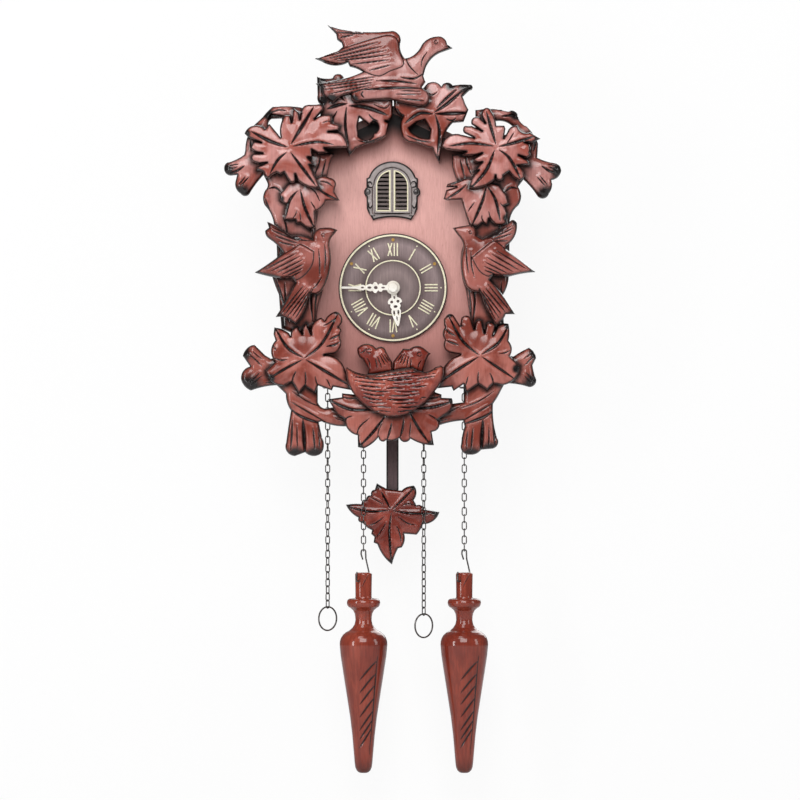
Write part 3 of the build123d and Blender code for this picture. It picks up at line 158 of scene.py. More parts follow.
# ---- the case -------------------------------------------------------------------------------
# Stained basswood boards, glued: a gabled front, two walls, a floor, two roof boards and a back
# panel. The boards show fine straight grain under satin varnish, darker where dust and stain
# collect.
def new_group(name, takes, gives):
    """A shader node group with named inputs and outputs; returns tree, input node, output node."""
    tree = bpy.data.node_groups.new(name, "ShaderNodeTree")
    kinds = {"value": "NodeSocketFloat", "colour": "NodeSocketColor", "vector": "NodeSocketVector"}
    for label, kind in takes:
        tree.interface.new_socket(label, in_out="INPUT", socket_type=kinds[kind])
    for label, kind in gives:
        tree.interface.new_socket(label, in_out="OUTPUT", socket_type=kinds[kind])
    return tree, tree.nodes.new("NodeGroupInput"), tree.nodes.new("NodeGroupOutput")


def blended(tree, factor, a, b, mode="MIX"):
    """The socket that mixes two colours."""
    made = put(tree, "ShaderNodeMix", [(0, factor), (6, a), (7, b)], data_type="RGBA",
               blend_type=mode)
    return made.outputs[2]


def maths(tree, operation, *values, clamp=False):
    """The socket of one sum."""
    made = put(tree, "ShaderNodeMath", list(enumerate(values)), operation=operation,
               use_clamp=clamp)
    return made.outputs[0]


def ranged(tree, value, low, high, to_low=0.0, to_high=1.0):
    """The socket of a value moved smoothly from one range to another."""
    made = put(tree, "ShaderNodeMapRange",
               [("Value", value), ("From Min", low), ("From Max", high),
                ("To Min", to_low), ("To Max", to_high)], interpolation_type="SMOOTHSTEP")
    return made.outputs[0]


# Straight grain: fine fibre lines, broad growth figure and short open pores, all along Z of the
# vector it is given.
GRAIN, inside, outside = new_group(
    "straight_grain", [("Vector", "vector"), ("Fineness", "value")],
    [("Fibres", "value"), ("Figure", "value"), ("Pores", "value")])
along_fibre = put(GRAIN, "ShaderNodeMapping", [("Vector", inside.outputs["Vector"]),
                                               ("Scale", (1, 1, 0.05))])
fibres = put(GRAIN, "ShaderNodeTexNoise", [("Vector", along_fibre.outputs[0]), ("Detail", 6.0),
                                           ("Roughness", 0.62)])
GRAIN.links.new(inside.outputs["Fineness"], fibres.inputs["Scale"])
along_figure = put(GRAIN, "ShaderNodeMapping", [("Vector", inside.outputs["Vector"]),
                                                ("Scale", (1, 1, 0.22))])
figure = put(GRAIN, "ShaderNodeTexNoise", [("Vector", along_figure.outputs[0]), ("Scale", 38.0),
                                           ("Detail", 3.0), ("Distortion", 0.7)])
along_pore = put(GRAIN, "ShaderNodeMapping", [("Vector", inside.outputs["Vector"]),
                                              ("Scale", (1, 1, 0.09))])
pores = put(GRAIN, "ShaderNodeTexNoise", [("Vector", along_pore.outputs[0]), ("Scale", 2300.0),
                                          ("Detail", 2.0)])
GRAIN.links.new(ranged(GRAIN, fibres.outputs["Fac"], 0.3, 0.7), outside.inputs["Fibres"])
GRAIN.links.new(ranged(GRAIN, figure.outputs["Fac"], 0.3, 0.7), outside.inputs["Figure"])
GRAIN.links.new(ranged(GRAIN, pores.outputs["Fac"], 0.58, 0.72), outside.inputs["Pores"])


def grain_in(tree, turn=(0, 0, 0), fineness=900.0):
    """Places the straight grain in a material, turned to the board; returns the group node."""
    place = put(tree, "ShaderNodeTexCoord")
    turned = put(tree, "ShaderNodeMapping", [("Vector", place.outputs["Object"]),
                                             ("Rotation", tuple(math.radians(v) for v in turn))])
    return put(tree, "ShaderNodeGroup", [("Vector", turned.outputs[0]), ("Fineness", fineness)],
               node_tree=GRAIN)


def shader(tree, values, height=None, bump=0.0002):
    """Ends a material with the Principled shader; height, where given, raises its surface."""
    surface = put(tree, "ShaderNodeBsdfPrincipled", values)
    if height is not None:
        raised = put(tree, "ShaderNodeBump", [("Height", height), ("Distance", bump),
                                              ("Strength", 0.6)])
        tree.links.new(raised.outputs[0], surface.inputs["Normal"])
    put(tree, "ShaderNodeOutputMaterial", [("Surface", surface.outputs[0])])
    return surface


def board_wood(name, light, dark, turn=(0, 0, 0)):
    """Stained board: fibres between two stains, with satin varnish."""
    material, tree = new_material(name)
    grain = grain_in(tree, turn)
    mixed = blended(tree, grain.outputs["Fibres"], dark, light)
    figured = blended(tree, maths(tree, "MULTIPLY", grain.outputs["Figure"], 0.45), mixed, light)
    pored = blended(tree, maths(tree, "MULTIPLY", grain.outputs["Pores"], 0.5), figured, dark)
    rough = ranged(tree, grain.outputs["Fibres"], 0, 1, 0.42, 0.34)
    height = maths(tree, "SUBTRACT", grain.outputs["Fibres"], grain.outputs["Pores"])
    shader(tree, [("Base Color", pored), ("Roughness", rough), ("Coat Weight", 0.25),
                  ("Coat Roughness", 0.25)], height, 0.00008)
    return material


def dress(material, *nodes):
    """Gives CAD nodes, whose shape is right as it is, their finished material."""
    for node in nodes:
        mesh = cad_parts[node].data
        if not mesh.materials:
            mesh.materials.append(material)
        for slot in range(len(mesh.materials)):
            mesh.materials[slot] = material


dress(board_wood("wall_board_wood", tint(140, 76, 62), tint(92, 42, 34)), "left_wall",
      "right_wall", "back_panel", "back_door")
dress(board_wood("floor_board_wood", tint(140, 76, 62), tint(92, 42, 34), (0, 90, 0)),
      "bottom_board")
dress(board_wood("roof_board_wood", tint(132, 70, 58), tint(80, 36, 30), (90, 0, 0)),
      "left_roof_board", "right_roof_board")

# The front board is the palest: a pink stain, painted paler towards the top as light from above
# and darker to the floor, with a nearly black shade painted along the eaves under the crest carving.
PANEL_HIGH = -0.045
PANEL_LOW = -0.19
EAVES_TOP = 0.024
EAVES_FADE = 0.016
EAVES_SLOPE = 0.42
panel_wood, tree = new_material("front_panel_wood")
grain = grain_in(tree, fineness=1700.0)
place = put(tree, "ShaderNodeTexCoord")
split = put(tree, "ShaderNodeSeparateXYZ", [(0, place.outputs["Object"])])
# Painted light: the stain is paler up the board, as where light from above falls.
painted_light_up = ranged(tree, split.outputs["Z"], PANEL_LOW, PANEL_HIGH)
stain = blended(tree, painted_light_up, tint(188, 130, 123), tint(222, 170, 163))
stain = blended(tree, ranged(tree, grain.outputs["Fibres"], 0, 1, 0.16, 0.0), stain,
                tint(140, 78, 66))
stain = blended(tree, maths(tree, "MULTIPLY", grain.outputs["Pores"], 0.2), stain,
                tint(120, 60, 52))
# Painted shade: brown, then nearly black, along the eaves where the crest carving shades the board.
slope = maths(tree, "MULTIPLY", maths(tree, "ABSOLUTE", split.outputs["X"]), EAVES_SLOPE)
under_eaves = maths(tree, "ADD", split.outputs["Z"], slope)
shade = ranged(tree, under_eaves, EAVES_TOP - EAVES_FADE, EAVES_TOP)
painted_brown_shade = ranged(tree, under_eaves, EAVES_TOP - 2 * EAVES_FADE, EAVES_TOP - 0.4 * EAVES_FADE, 0, 0.75)
stain = blended(tree, painted_brown_shade, stain, tint(110, 48, 38))
stain = blended(tree, shade, stain, tint(22, 10, 9))
shader(tree, [("Base Color", stain), ("Roughness", 0.38), ("Specular IOR Level", 0.1),
              ("Coat Weight", 0.15), ("Coat Roughness", 0.3)], grain.outputs["Fibres"], 0.00005)
dress(panel_wood, "front_panel")


# ---- metal and plastic finishes of the fittings -----------------------------------------------
# Pressed steel, turned brass and moulded plastic. Each shows what its making leaves on it:
# brush lines or rolling marks on metal, faint mould texture and rubbed edges on plastic.
def worn(tree, scale, low, high):
    """A soft patchy value, for dull and bright places on a handled surface."""
    place = put(tree, "ShaderNodeTexCoord")
    patches = put(tree, "ShaderNodeTexNoise", [("Vector", place.outputs["Object"]),
                                               ("Scale", scale), ("Detail", 5.0),
                                               ("Roughness", 0.6)])
    return patches.outputs["Fac"], ranged(tree, patches.outputs["Fac"], 0.3, 0.7, low, high)


def metal(name, bright, dull, rough, brushed=(1, 1, 1)):
    """Bare metal with patchy tarnish and fine brush lines."""
    material, tree = new_material(name)
    patch, tarnish = worn(tree, 260.0, 0.0, 1.0)
    place = put(tree, "ShaderNodeTexCoord")
    lines = put(tree, "ShaderNodeMapping", [("Vector", place.outputs["Object"]),
                                            ("Scale", brushed)])
    scratch = put(tree, "ShaderNodeTexNoise", [("Vector", lines.outputs[0]), ("Scale", 1800.0),
                                               ("Detail", 3.0)])
    rub = ranged(tree, scratch.outputs["Fac"], 0.3, 0.7, rough - 0.08, rough + 0.1)
    shader(tree, [("Base Color", blended(tree, tarnish, bright, dull)), ("Metallic", 1.0),
                  ("Roughness", rub)], scratch.outputs["Fac"], 0.00003)
    return material


def moulded(name, colour, shade, rough, coat=0.0):
    """Moulded plastic with a fine mould texture and slight dulling."""
    material, tree = new_material(name)
    patch, dulling = worn(tree, 90.0, 0.0, 1.0)
    place = put(tree, "ShaderNodeTexCoord")
    texture = put(tree, "ShaderNodeTexNoise", [("Vector", place.outputs["Object"]),
                                               ("Scale", 2600.0), ("Detail", 2.0)])
    dull = maths(tree, "MULTIPLY_ADD", dulling, 0.12, rough)
    shader(tree, [("Base Color", blended(tree, dulling, colour, shade)), ("Roughness", dull),
                  ("Coat Weight", coat), ("Coat Roughness", 0.2)], texture.outputs["Fac"], 0.00003)
    return material


zinc_steel = metal("zinc_plated_steel", tint(196, 197, 200), tint(150, 150, 155), 0.34)
yellow_brass = metal("yellow_brass", tint(214, 178, 104), tint(160, 124, 66), 0.3)
black_plastic = moulded("black_moulded_plastic", tint(44, 44, 46), tint(30, 30, 32), 0.5)
white_plastic = moulded("white_gear_plastic", tint(226, 226, 220), tint(206, 206, 200), 0.42)
dress(zinc_steel, "hanger_plate", "carriage_rail", "chain_staples")
dress(yellow_brass, "back_door_hinges", "minute_arbor")
dress(black_plastic, "movement_case", "movement_cover", "speaker", "volume_switch",
      "cuckoo_carriage", "pendulum_bracket")
dress(white_plastic, "minute_wheel", "hour_wheel")

# The two round cells: printed jackets that run green at one end and copper at the other.
jacket, tree = new_material("battery_jacket")
place = put(tree, "ShaderNodeTexCoord")
split = put(tree, "ShaderNodeSeparateXYZ", [(0, place.outputs["Object"])])
COPPER_END = 0.016
cell_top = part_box("batteries")[1].z
band = ranged(tree, split.outputs["Z"], cell_top - COPPER_END, cell_top - COPPER_END + 0.0005)
patch, scuff = worn(tree, 200.0, 0.25, 0.4)
shader(tree, [("Base Color", blended(tree, band, tint(28, 74, 58), tint(176, 112, 60))),
              ("Roughness", scuff), ("Coat Weight", 0.5), ("Coat Roughness", 0.12)],
       patch, 0.00002)
dress(jacket, "batteries")


# ---- the carver's relief ------------------------------------------------------------------------
# Every carving is a board sawn to its outline. Its edges are rounded over, its face is crowned,
# and its veins and feathers are cut with a V tool: narrow where a cut starts, wide in the
# middle. Stain pools in the cuts and on the sawn edges, and the ends are scorched black. Round
# and under the pieces that lie on top, a shade is painted dark into the board's stain.
MESH_STEP = 0.72
RIM_STEP = 0.5
CHUNK = 1500
WELD = 2e-6
SHADE_REACH = 5.5
EDGE_REACH = 2.2
BACK_STAIN = 0.55


def front_outline(node, depth):
    """The loops, in mm, round the flat faces of a CAD board that look to the front at a depth."""
    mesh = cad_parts[node].data
    co = np.empty(len(mesh.vertices) * 3, np.float32)
    mesh.vertices.foreach_get("co", co)
    co = co.reshape(-1, 3)
    corners = {}
    ahead = {}
    for face in mesh.polygons:
        if face.normal.y > -0.9 or abs(co[face.vertices[0]][1] + depth / 1000) > 2e-5:
            continue
        ids = [tuple(np.round(co[v][[0, 2]] * 1000, 3)) for v in face.vertices]
        for a, b in zip(ids, ids[1:] + ids[:1]):
            corners.setdefault(a, set()).add(b)
    for a, others in corners.items():
        for b in others:
            if a not in corners.get(b, ()) and a != b:
                ahead.setdefault(a, []).append(b)
    loops = []
    while ahead:
        start = min(ahead)
        loop = [start]
        while loop[-1] in ahead:
            follow = ahead[loop[-1]]
            after = follow.pop()
            if not follow:
                del ahead[loop[-1]]
            if after == start:
                break
            loop.append(after)
        if len(loop) > 2:
            loops.append(np.array(loop, float))
    return loops


def stepped(loop, step):
    """A closed loop with points added, so that none of its edges is longer than the step."""
    points = []
    for a, b in zip(loop, np.roll(loop, -1, axis=0)):
        parts = max(1, math.ceil(np.hypot(*(b - a)) / step))
        points += [a + (b - a) * i / parts for i in range(parts)]
    return np.array(points)


def within(points, loops):
    """Which of the points lie inside the loops, counting holes."""
    found = np.zeros(len(points), bool)
    for loop in loops:
        a = loop
        b = np.roll(loop, -1, axis=0)
        for start in range(0, len(points), CHUNK):
            x = points[start:start + CHUNK, 0][:, None]
            z = points[start:start + CHUNK, 1][:, None]
            spans = (a[:, 1] > z) != (b[:, 1] > z)
            rise = np.where(b[:, 1] == a[:, 1], 1, b[:, 1] - a[:, 1])
            crosses = spans & (x < a[:, 0] + (z - a[:, 1]) * (b[:, 0] - a[:, 0]) / rise)
            found[start:start + CHUNK] ^= crosses.sum(1) % 2 == 1
    return found


def curve_through(points, pieces=8):
    """A smooth line through a few points."""
    if len(points) < 3:
        return np.array(points, float)
    p = np.array([points[0], *points, points[-1]], float)
    line = []
    for i in range(1, len(p) - 2):
        for t in np.linspace(0, 1, pieces, endpoint=False):
            line.append(0.5 * (2 * p[i] + (p[i + 1] - p[i - 1]) * t
                               + (2 * p[i - 1] - 5 * p[i] + 4 * p[i + 1] - p[i + 2]) * t**2
                               + (3 * p[i] - p[i - 1] - 3 * p[i + 1] + p[i + 2]) * t**3))
    return np.array([*line, p[-1]])


def beside(points, line):
    """How far each point is from a line, and where along it the nearest place is, 0 to 1."""
    a = line[:-1]
    run = line[1:] - a
    length = np.hypot(run[:, 0], run[:, 1])
    before = np.concatenate(([0], np.cumsum(length)[:-1]))
    along = np.clip(((points[:, None] - a) * run).sum(2) / length**2, 0, 1)
    gap = np.linalg.norm(points[:, None] - (a + along[..., None] * run), axis=2)
    pick = gap.argmin(1)
    row = np.arange(len(points))
    return gap[row, pick], (before[pick] + along[row, pick] * length[pick]) / length.sum()


def carve_relief(loops, back, front, cuts=(), shelves=(), scorched=(), round_over=1.8,
                 crown=0.8, crown_reach=9.0, covers=(), step=MESH_STEP):
    """One carved board as (points, faces, marks). Lengths are mm; marks are cut, edge, and scorch with
    painted shade.

    cuts: (width, points) for each V cut. shelves: (height, outline) for parts left proud.
    scorched: (x, z, radius) of burnt ends. covers: loops of what lies on top, with a shade painted dark
    round and under them."""
    rims = [stepped(loop, RIM_STEP) for loop in loops]
    rim = np.vstack(rims)
    tree = KDTree(len(rim))
    for i, p in enumerate(rim):
        tree.insert((p[0], p[1], 0), i)
    tree.balance()
    low, high = rim.min(0), rim.max(0)
    row_gap = step * 0.866
    rows = np.arange(low[1], high[1], row_gap)
    grid = [(x + (k % 2) * step / 2, z) for k, z in enumerate(rows)
            for x in np.arange(low[0], high[0], step)]
    grid = np.array(grid)
    grid = grid[within(grid, rims)]
    clear = np.array([tree.find((p[0], p[1], 0))[2] for p in grid]) > 0.45 * step
    flat = np.vstack((rim, grid[clear]))
    edges = []
    first = 0
    for loop in rims:
        count = len(loop)
        edges += [(first + i, first + (i + 1) % count) for i in range(count)]
        first += count
    flat, _, faces, *_ = delaunay_2d_cdt([Vector(p) for p in flat], edges, [], 0, 1e-5)
    flat = np.array([tuple(p) for p in flat])
    faces = np.array([f for f in faces if len(f) == 3])
    faces = faces[within(flat[faces].mean(1), rims)]
    depth_in = np.array([tree.find((p[0], p[1], 0))[2] for p in flat])
    depth_in = np.where(depth_in < 0.02, 0, depth_in)
    over = np.clip(1 - depth_in / round_over, 0, 1)
    height = -round_over * (1 - np.sqrt(1 - over**2))
    height += crown * (1 - np.exp(-depth_in / crown_reach))
    cut = np.zeros(len(flat))
    for rise, outline in shelves:
        outline = curve_through([*outline, outline[0]], 6)
        gap, _ = beside(flat, outline)
        proud = within(flat, [outline[:-1]])
        height += np.where(proud, rise * np.clip(gap / 1.4, 0, 1) ** 0.5, 0)
        cut = np.maximum(cut, np.clip(1 - gap / 0.9, 0, 1) * 0.95)
    dip = np.zeros(len(flat))
    for width, points in cuts:
        gap, t = beside(flat, curve_through(points))
        half = width / 2 * np.clip(np.sin(np.pi * np.clip(t, 0.02, 0.98)), 0, 1) ** 0.55
        inside_cut = np.clip(1 - gap / half, 0, 1)
        dip = np.maximum(dip, inside_cut * half * 0.95)
        cut = np.maximum(cut, np.clip(1.35 * inside_cut, 0, 1) ** 0.7)
        height += 0.35 * np.exp(-((gap - half) / 1.5) ** 2) * (gap > half)
    height -= dip
    height = np.maximum(height, -(front - back) * 0.8)
    scorch_and_shade = np.zeros(len(flat))
    for x, z, radius in scorched:
        gap = np.hypot(flat[:, 0] - x, flat[:, 1] - z)
        scorch_and_shade = np.maximum(scorch_and_shade, np.clip(1.5 - gap / radius, 0, 1))
    # Painted shade: the board is stained dark round and under the pieces that lie on top of it.
    for loop in covers:
        near = ((flat > loop.min(0) - SHADE_REACH) & (flat < loop.max(0) + SHADE_REACH)).all(1)
        if near.any():
            gap, _ = beside(flat[near], np.vstack((loop, loop[:1])))
            painted_shade = np.where(within(flat[near], [loop]), 1, np.clip(1 - gap / SHADE_REACH, 0, 1))
            scorch_and_shade[near] = np.maximum(scorch_and_shade[near], 0.85 * painted_shade)
    edge = np.exp(-depth_in / EDGE_REACH)
    count = len(flat)
    face_points = np.column_stack((flat[:, 0], -(front + height), flat[:, 1]))
    back_points = np.column_stack((flat[:, 0], np.full(count, -back), flat[:, 1]))
    used = {}
    for f in faces:
        for a, b in ((f[0], f[1]), (f[1], f[2]), (f[2], f[0])):
            used[(a, b)] = used.get((b, a), 0)
    border = [(a, b) for a, b in used if (b, a) not in used]
    walls = [(a, a + count, b + count, b) for a, b in border]
    rim_only = sorted({a for a, _ in border})
    sparse = {a: i for i, a in enumerate(rim_only)}
    plain, _, lids, *_ = delaunay_2d_cdt([Vector(flat[a]) for a in rim_only],
                                         [(sparse[a], sparse[b]) for a, b in border], [], 0, 1e-5)
    lids = [f for f in lids if len(f) == 3]
    plain = np.array([tuple(p) for p in plain])
    lids = np.array(lids)[within(plain[np.array(lids)].mean(1), rims)]
    lid_points = np.column_stack((plain[:, 0], np.full(len(plain), -back), plain[:, 1]))
    points = np.vstack((face_points, back_points, lid_points))
    polygons = [tuple(f) for f in faces] + walls
    polygons += [tuple(v + 2 * count for v in f[::-1]) for f in lids]
    marks = np.zeros((len(points), 3))
    marks[:count] = np.column_stack((cut, edge, scorch_and_shade))
    marks[count:, 1] = BACK_STAIN
    return points, polygons, marks


def round_bar(start, end, radius, sides, edge):
    """A bar along Y or Z between two points in mm, as (points, faces, marks)."""
    upright = start[2] != end[2]
    ring = [(radius * math.cos(k * math.tau / sides), radius * math.sin(k * math.tau / sides))
            for k in range(sides)]
    points = [(x + a, y + b, z) if upright else (x + a, y, z + b)
              for x, y, z in (start, end) for a, b in ring]
    faces = [(k, (k + 1) % sides, (k + 1) % sides + sides, k + sides) for k in range(sides)]
    faces += [tuple(range(sides))[::-1], tuple(range(sides, 2 * sides))]
    return np.array(points, float), faces, np.tile((0, edge, 0), (2 * sides, 1))


def peg(x, z, back, front):
    """A glued round peg behind a carving."""
    return round_bar((x, -back, z), (x, -front, z), 4, 20, 0.6)


def solid_piece(name, parts, material, body, slot, *nodes):
    """Joins parts given in mm into one piece of the clock that stands for CAD nodes."""
    points, faces, marks = [], [], []
    for part_points, part_faces, part_marks in parts:
        shift = sum(len(p) for p in points)
        points.append(part_points)
        marks.append(part_marks)
        faces += [tuple(int(v) + shift for v in f) for f in part_faces]
    mesh = bpy.data.meshes.new(name)
    mesh.from_pydata((np.vstack(points) / 1000).tolist(), [], faces)
    marks = np.vstack(marks)
    for k, label in enumerate(("cut", "edge", "scorch_and_shade")):
        mesh.attributes.new(label, "FLOAT", "POINT").data.foreach_set(
            "value", marks[:, k].astype(np.float32))
    shape = bmesh.new()
    shape.from_mesh(mesh)
    bmesh.ops.delete(shape, geom=[v for v in shape.verts if not v.link_faces], context="VERTS")
    bmesh.ops.remove_doubles(shape, verts=shape.verts, dist=WELD)
    bmesh.ops.dissolve_degenerate(shape, edges=shape.edges, dist=WELD)
    bmesh.ops.recalc_face_normals(shape, faces=shape.faces)
    for face in shape.faces:
        face.smooth = True
    for e in shape.edges:
        if len(e.link_faces) == 2 and e.calc_face_angle(0) > math.radians(50):
            e.smooth = False
    shape.to_mesh(mesh)
    shape.free()
    mesh.materials.append(material)
    piece = bpy.data.objects.new(name, mesh)
    bpy.context.scene.collection.objects.link(piece)
    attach(piece, body)
    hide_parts(*nodes)
    return piece


# The carver's stain: rubbed pale on the high faces, red in the hollows, dark brown in the cuts
# and along sawn edges, black where the ends are scorched and as painted shade round what lies on top.
STAINED, inside, outside = new_group(
    "carver_stain",
    [("Rubbed", "colour"), ("Red", "colour"), ("Pooled", "colour"), ("Burnt", "colour"),
     ("Fibres", "value"), ("Figure", "value"), ("Vector", "vector")],
    [("Colour", "colour"), ("Dull", "value"), ("Height", "value")])
marks_of = {label: put(STAINED, "ShaderNodeAttribute", attribute_name=label).outputs["Fac"]
            for label in ("cut", "edge", "scorch_and_shade")}
cloud = put(STAINED, "ShaderNodeTexNoise", [("Vector", inside.outputs["Vector"]),
                                            ("Scale", 34.0), ("Detail", 4.0), ("Distortion", 0.8)])
patchy = ranged(STAINED, cloud.outputs["Fac"], 0.38, 0.62)
stain = blended(STAINED, patchy, inside.outputs["Rubbed"], inside.outputs["Red"])
stain = blended(STAINED, maths(STAINED, "MULTIPLY", inside.outputs["Figure"], 0.3), stain,
                inside.outputs["Red"])
stain = blended(STAINED, ranged(STAINED, inside.outputs["Fibres"], 0, 1, 0.16, 0.0), stain,
                inside.outputs["Pooled"])
tooth = put(STAINED, "ShaderNodeTexNoise", [("Vector", inside.outputs["Vector"]),
                                            ("Scale", 420.0), ("Detail", 3.0)])
ragged = maths(STAINED, "MULTIPLY_ADD", tooth.outputs["Fac"], 0.3, -0.15)
pool = maths(STAINED, "ADD", marks_of["cut"], ragged)
pool = ranged(STAINED, pool, 0.12, 0.75)
stain = blended(STAINED, pool, stain, inside.outputs["Pooled"])
deep = ranged(STAINED, marks_of["cut"], 0.45, 0.95)
stain = blended(STAINED, deep, stain, inside.outputs["Burnt"])
rimmed = ranged(STAINED, maths(STAINED, "ADD", marks_of["edge"], ragged), 0.33, 0.78)
stain = blended(STAINED, rimmed, stain, inside.outputs["Burnt"])
# Scorch and painted shade: the scorch_and_shade mark turns the stain black.
charred_and_shaded = ranged(STAINED, maths(STAINED, "ADD", marks_of["scorch_and_shade"], ragged), 0.1, 0.9)
stain = blended(STAINED, charred_and_shaded, stain, inside.outputs["Burnt"])
STAINED.links.new(stain, outside.inputs["Colour"])
STAINED.links.new(maths(STAINED, "MAXIMUM", pool, charred_and_shaded), outside.inputs["Dull"])
STAINED.links.new(maths(STAINED, "ADD", inside.outputs["Fibres"], tooth.outputs["Fac"]),
                  outside.inputs["Height"])


def carved_wood(name, rubbed, red, pooled=(62, 22, 18), burnt=(18, 8, 8), high=None, gloss=0.35):
    """Varnished carving. high gives (z, z, colour, colour): painted light, the stain turning to these
    colours up the clock as the sheen of light from above.
    """
    material, tree = new_material(name)
    grain = grain_in(tree, fineness=700.0)
    place = put(tree, "ShaderNodeTexCoord")
    rub_colour, red_colour = tint(*rubbed), tint(*red)
    # Painted light: high turns the stain paler and pinker up the clock, as the sheen of light from
    # above.
    if high:
        split = put(tree, "ShaderNodeSeparateXYZ", [(0, place.outputs["Object"])])
        painted_light_up = ranged(tree, split.outputs["Z"], high[0], high[1])
        rub_colour = blended(tree, painted_light_up, rub_colour, tint(*high[2]))
        red_colour = blended(tree, painted_light_up, red_colour, tint(*high[3]))
    stain = put(tree, "ShaderNodeGroup",
                [("Rubbed", rub_colour), ("Red", red_colour), ("Pooled", tint(*pooled)),
                 ("Burnt", tint(*burnt)), ("Fibres", grain.outputs["Fibres"]),
                 ("Figure", grain.outputs["Figure"]), ("Vector", place.outputs["Object"])],
                node_tree=STAINED)
    rough = ranged(tree, stain.outputs["Dull"], 0, 1, gloss, gloss + 0.12)
    shader(tree, [("Base Color", stain.outputs["Colour"]), ("Roughness", rough),
                  ("Specular IOR Level", 0.12), ("Coat Weight", 1.0), ("Coat Roughness", 0.12)],
           stain.outputs["Height"], 0.00008)
    return material


# Painted light: paler and pinker towards the top of the clock, for the sheen of light from above.
leaf_wood = carved_wood("leaf_wood", (178, 104, 92), (128, 54, 40),
                        high=(-0.20, 0.03, (210, 152, 146), (162, 84, 72)))


def lying_on(*nodes_and_depths):
    """The front outlines of the pieces that lie on top of a carving."""
    return [loop for node, depth in nodes_and_depths for loop in front_outline(node, depth)]


def mirrored(cuts):
    """The same cuts on the other side of the clock."""
    return [(width, [(-x, z) for x, z in points]) for width, points in cuts]


# ---- carved branches --------------------------------------------------------------------------
# Four sawn branches glued on the front panel: one up each side from the nest to the eaves, and
# one low on each side with cut stubs. Flutes run along them, and the stub ends are scorched.
BRANCH_BACK, BRANCH_FRONT = 88, 98
VINE_CUTS = [
    (1.4, [(-139.5, -13.6), (-135, -12.6), (-130.5, -12.4)]),
    (1.4, [(-139.5, -16.6), (-135, -15.4), (-131.5, -14.2)]),
    (3.0, [(-138.5, -20), (-132, -17.5), (-126, -13.4)]),
    (1.7, [(-131.5, -30), (-128, -26), (-125, -22)]),
    (1.7, [(-129, -30.5), (-126, -27), (-122.5, -23)]),
    (3.4, [(-106, 25), (-103, 29), (-92, 28.6)]),
    (2.0, [(-104, 31.5), (-97, 33.8), (-90, 33)]),
    (2.4, [(-121, 9), (-120.5, 4), (-119, -1)]),
    (2.2, [(-109, -40), (-106.5, -47), (-103.5, -55)]),
    (2.6, [(-106, -33), (-100, -32), (-95, -36)]),
    (3.0, [(-99, -62), (-96, -76), (-95.5, -92)]),
    (2.4, [(-93, -58), (-90.5, -66), (-90, -75)]),
    (3.0, [(-99.5, -110), (-96, -120), (-92, -134)]),
    (2.4, [(-92, -112), (-91, -130), (-88, -148)]),
    (2.6, [(-68, -112), (-69.5, -128), (-68, -147)]),
    (2.6, [(-61.5, -58), (-59.5, -74), (-60, -88)]),
    (2.2, [(-64.5, -118), (-66, -132), (-66.5, -146)]),
    (2.2, [(-57, -8), (-59, -16), (-61, -24)]),
    (2.0, [(-62, -5), (-63, -12), (-67, -22)]),
]
LOWER_CUTS = [
    (1.8, [(-122.5, -173.5), (-117, -178), (-111.5, -183.5)]),
    (1.4, [(-119.5, -170.8), (-115.5, -174.5), (-110.5, -178)]),
    (1.6, [(-123, -197.5), (-118, -194), (-113, -189)]),
    (1.6, [(-121.5, -200), (-116, -196), (-111, -191.5)]),
    (1.6, [(-108, -198), (-100, -196), (-95, -191)]),
    (2.0, [(-87.5, -213.5), (-75, -221), (-56, -232)]),
    (3.6, [(-87.5, -220), (-77, -227), (-60, -233)]),
    (1.6, [(-86, -205), (-72, -214), (-56, -220)]),
    (2.6, [(-85.5, -229), (-86, -242), (-87, -255)]),
    (5.2, [(-76.5, -229), (-75.6, -243), (-74.8, -258)]),
    (1.8, [(-81.5, -234), (-81.5, -245), (-81, -254)]),
    (2.2, [(-68, -236), (-67, -246), (-66.2, -256)]),
    (1.6, [(-63.5, -238), (-62.5, -247), (-62.5, -254)]),
    (1.4, [(-50, -228), (-38, -230.5), (-20, -231)]),
    (1.4, [(-60, -216), (-48, -222), (-34, -224)]),
]
BRANCHES = [  # node, cuts, scorched ends
    ("left_vine_branch", VINE_CUTS,
     [(-142, -18, 7), (-129, -38, 9), (-111, -52, 4), (-106, 30, 5), (-97, -148, 8)]),
    ("right_vine_branch", mirrored(VINE_CUTS),
     [(141, -18, 7), (130, -39, 9), (109, -52, 4), (104, 30, 5), (96, -146, 8)]),
    ("left_lower_branch", LOWER_CUTS,
     [(-123, -202, 11), (-128, -173, 7), (-83, -261, 9), (-66, -261, 9)]),
    ("right_lower_branch", mirrored(LOWER_CUTS),
     [(120, -200, 10), (122, -172, 7), (83, -257, 9), (66, -261, 9)]),
]
for node, cuts, ends in BRANCHES:
    side = node.split("_")[0]
    on_top = ([(f"{side}_vine_leaf", 118), (f"{side}_side_leaf", 106), (f"{side}_bird", 118)]
              if "vine" in node else [("bottom_leaf", 106), ("nest", 122)])
    # Painted shade: each branch is stained dark round and under the leaves, birds and nest on it.
    covers = lying_on((f"{side}_lower_leaf", 106), *on_top)
    relief = carve_relief(front_outline(node, BRANCH_FRONT), BRANCH_BACK, BRANCH_FRONT, cuts,
                          scorched=ends, round_over=4.6, crown=1.4, crown_reach=7, covers=covers)
    solid_piece(f"{node}_carving", [relief], leaf_wood, "case", "carved_wood", node)


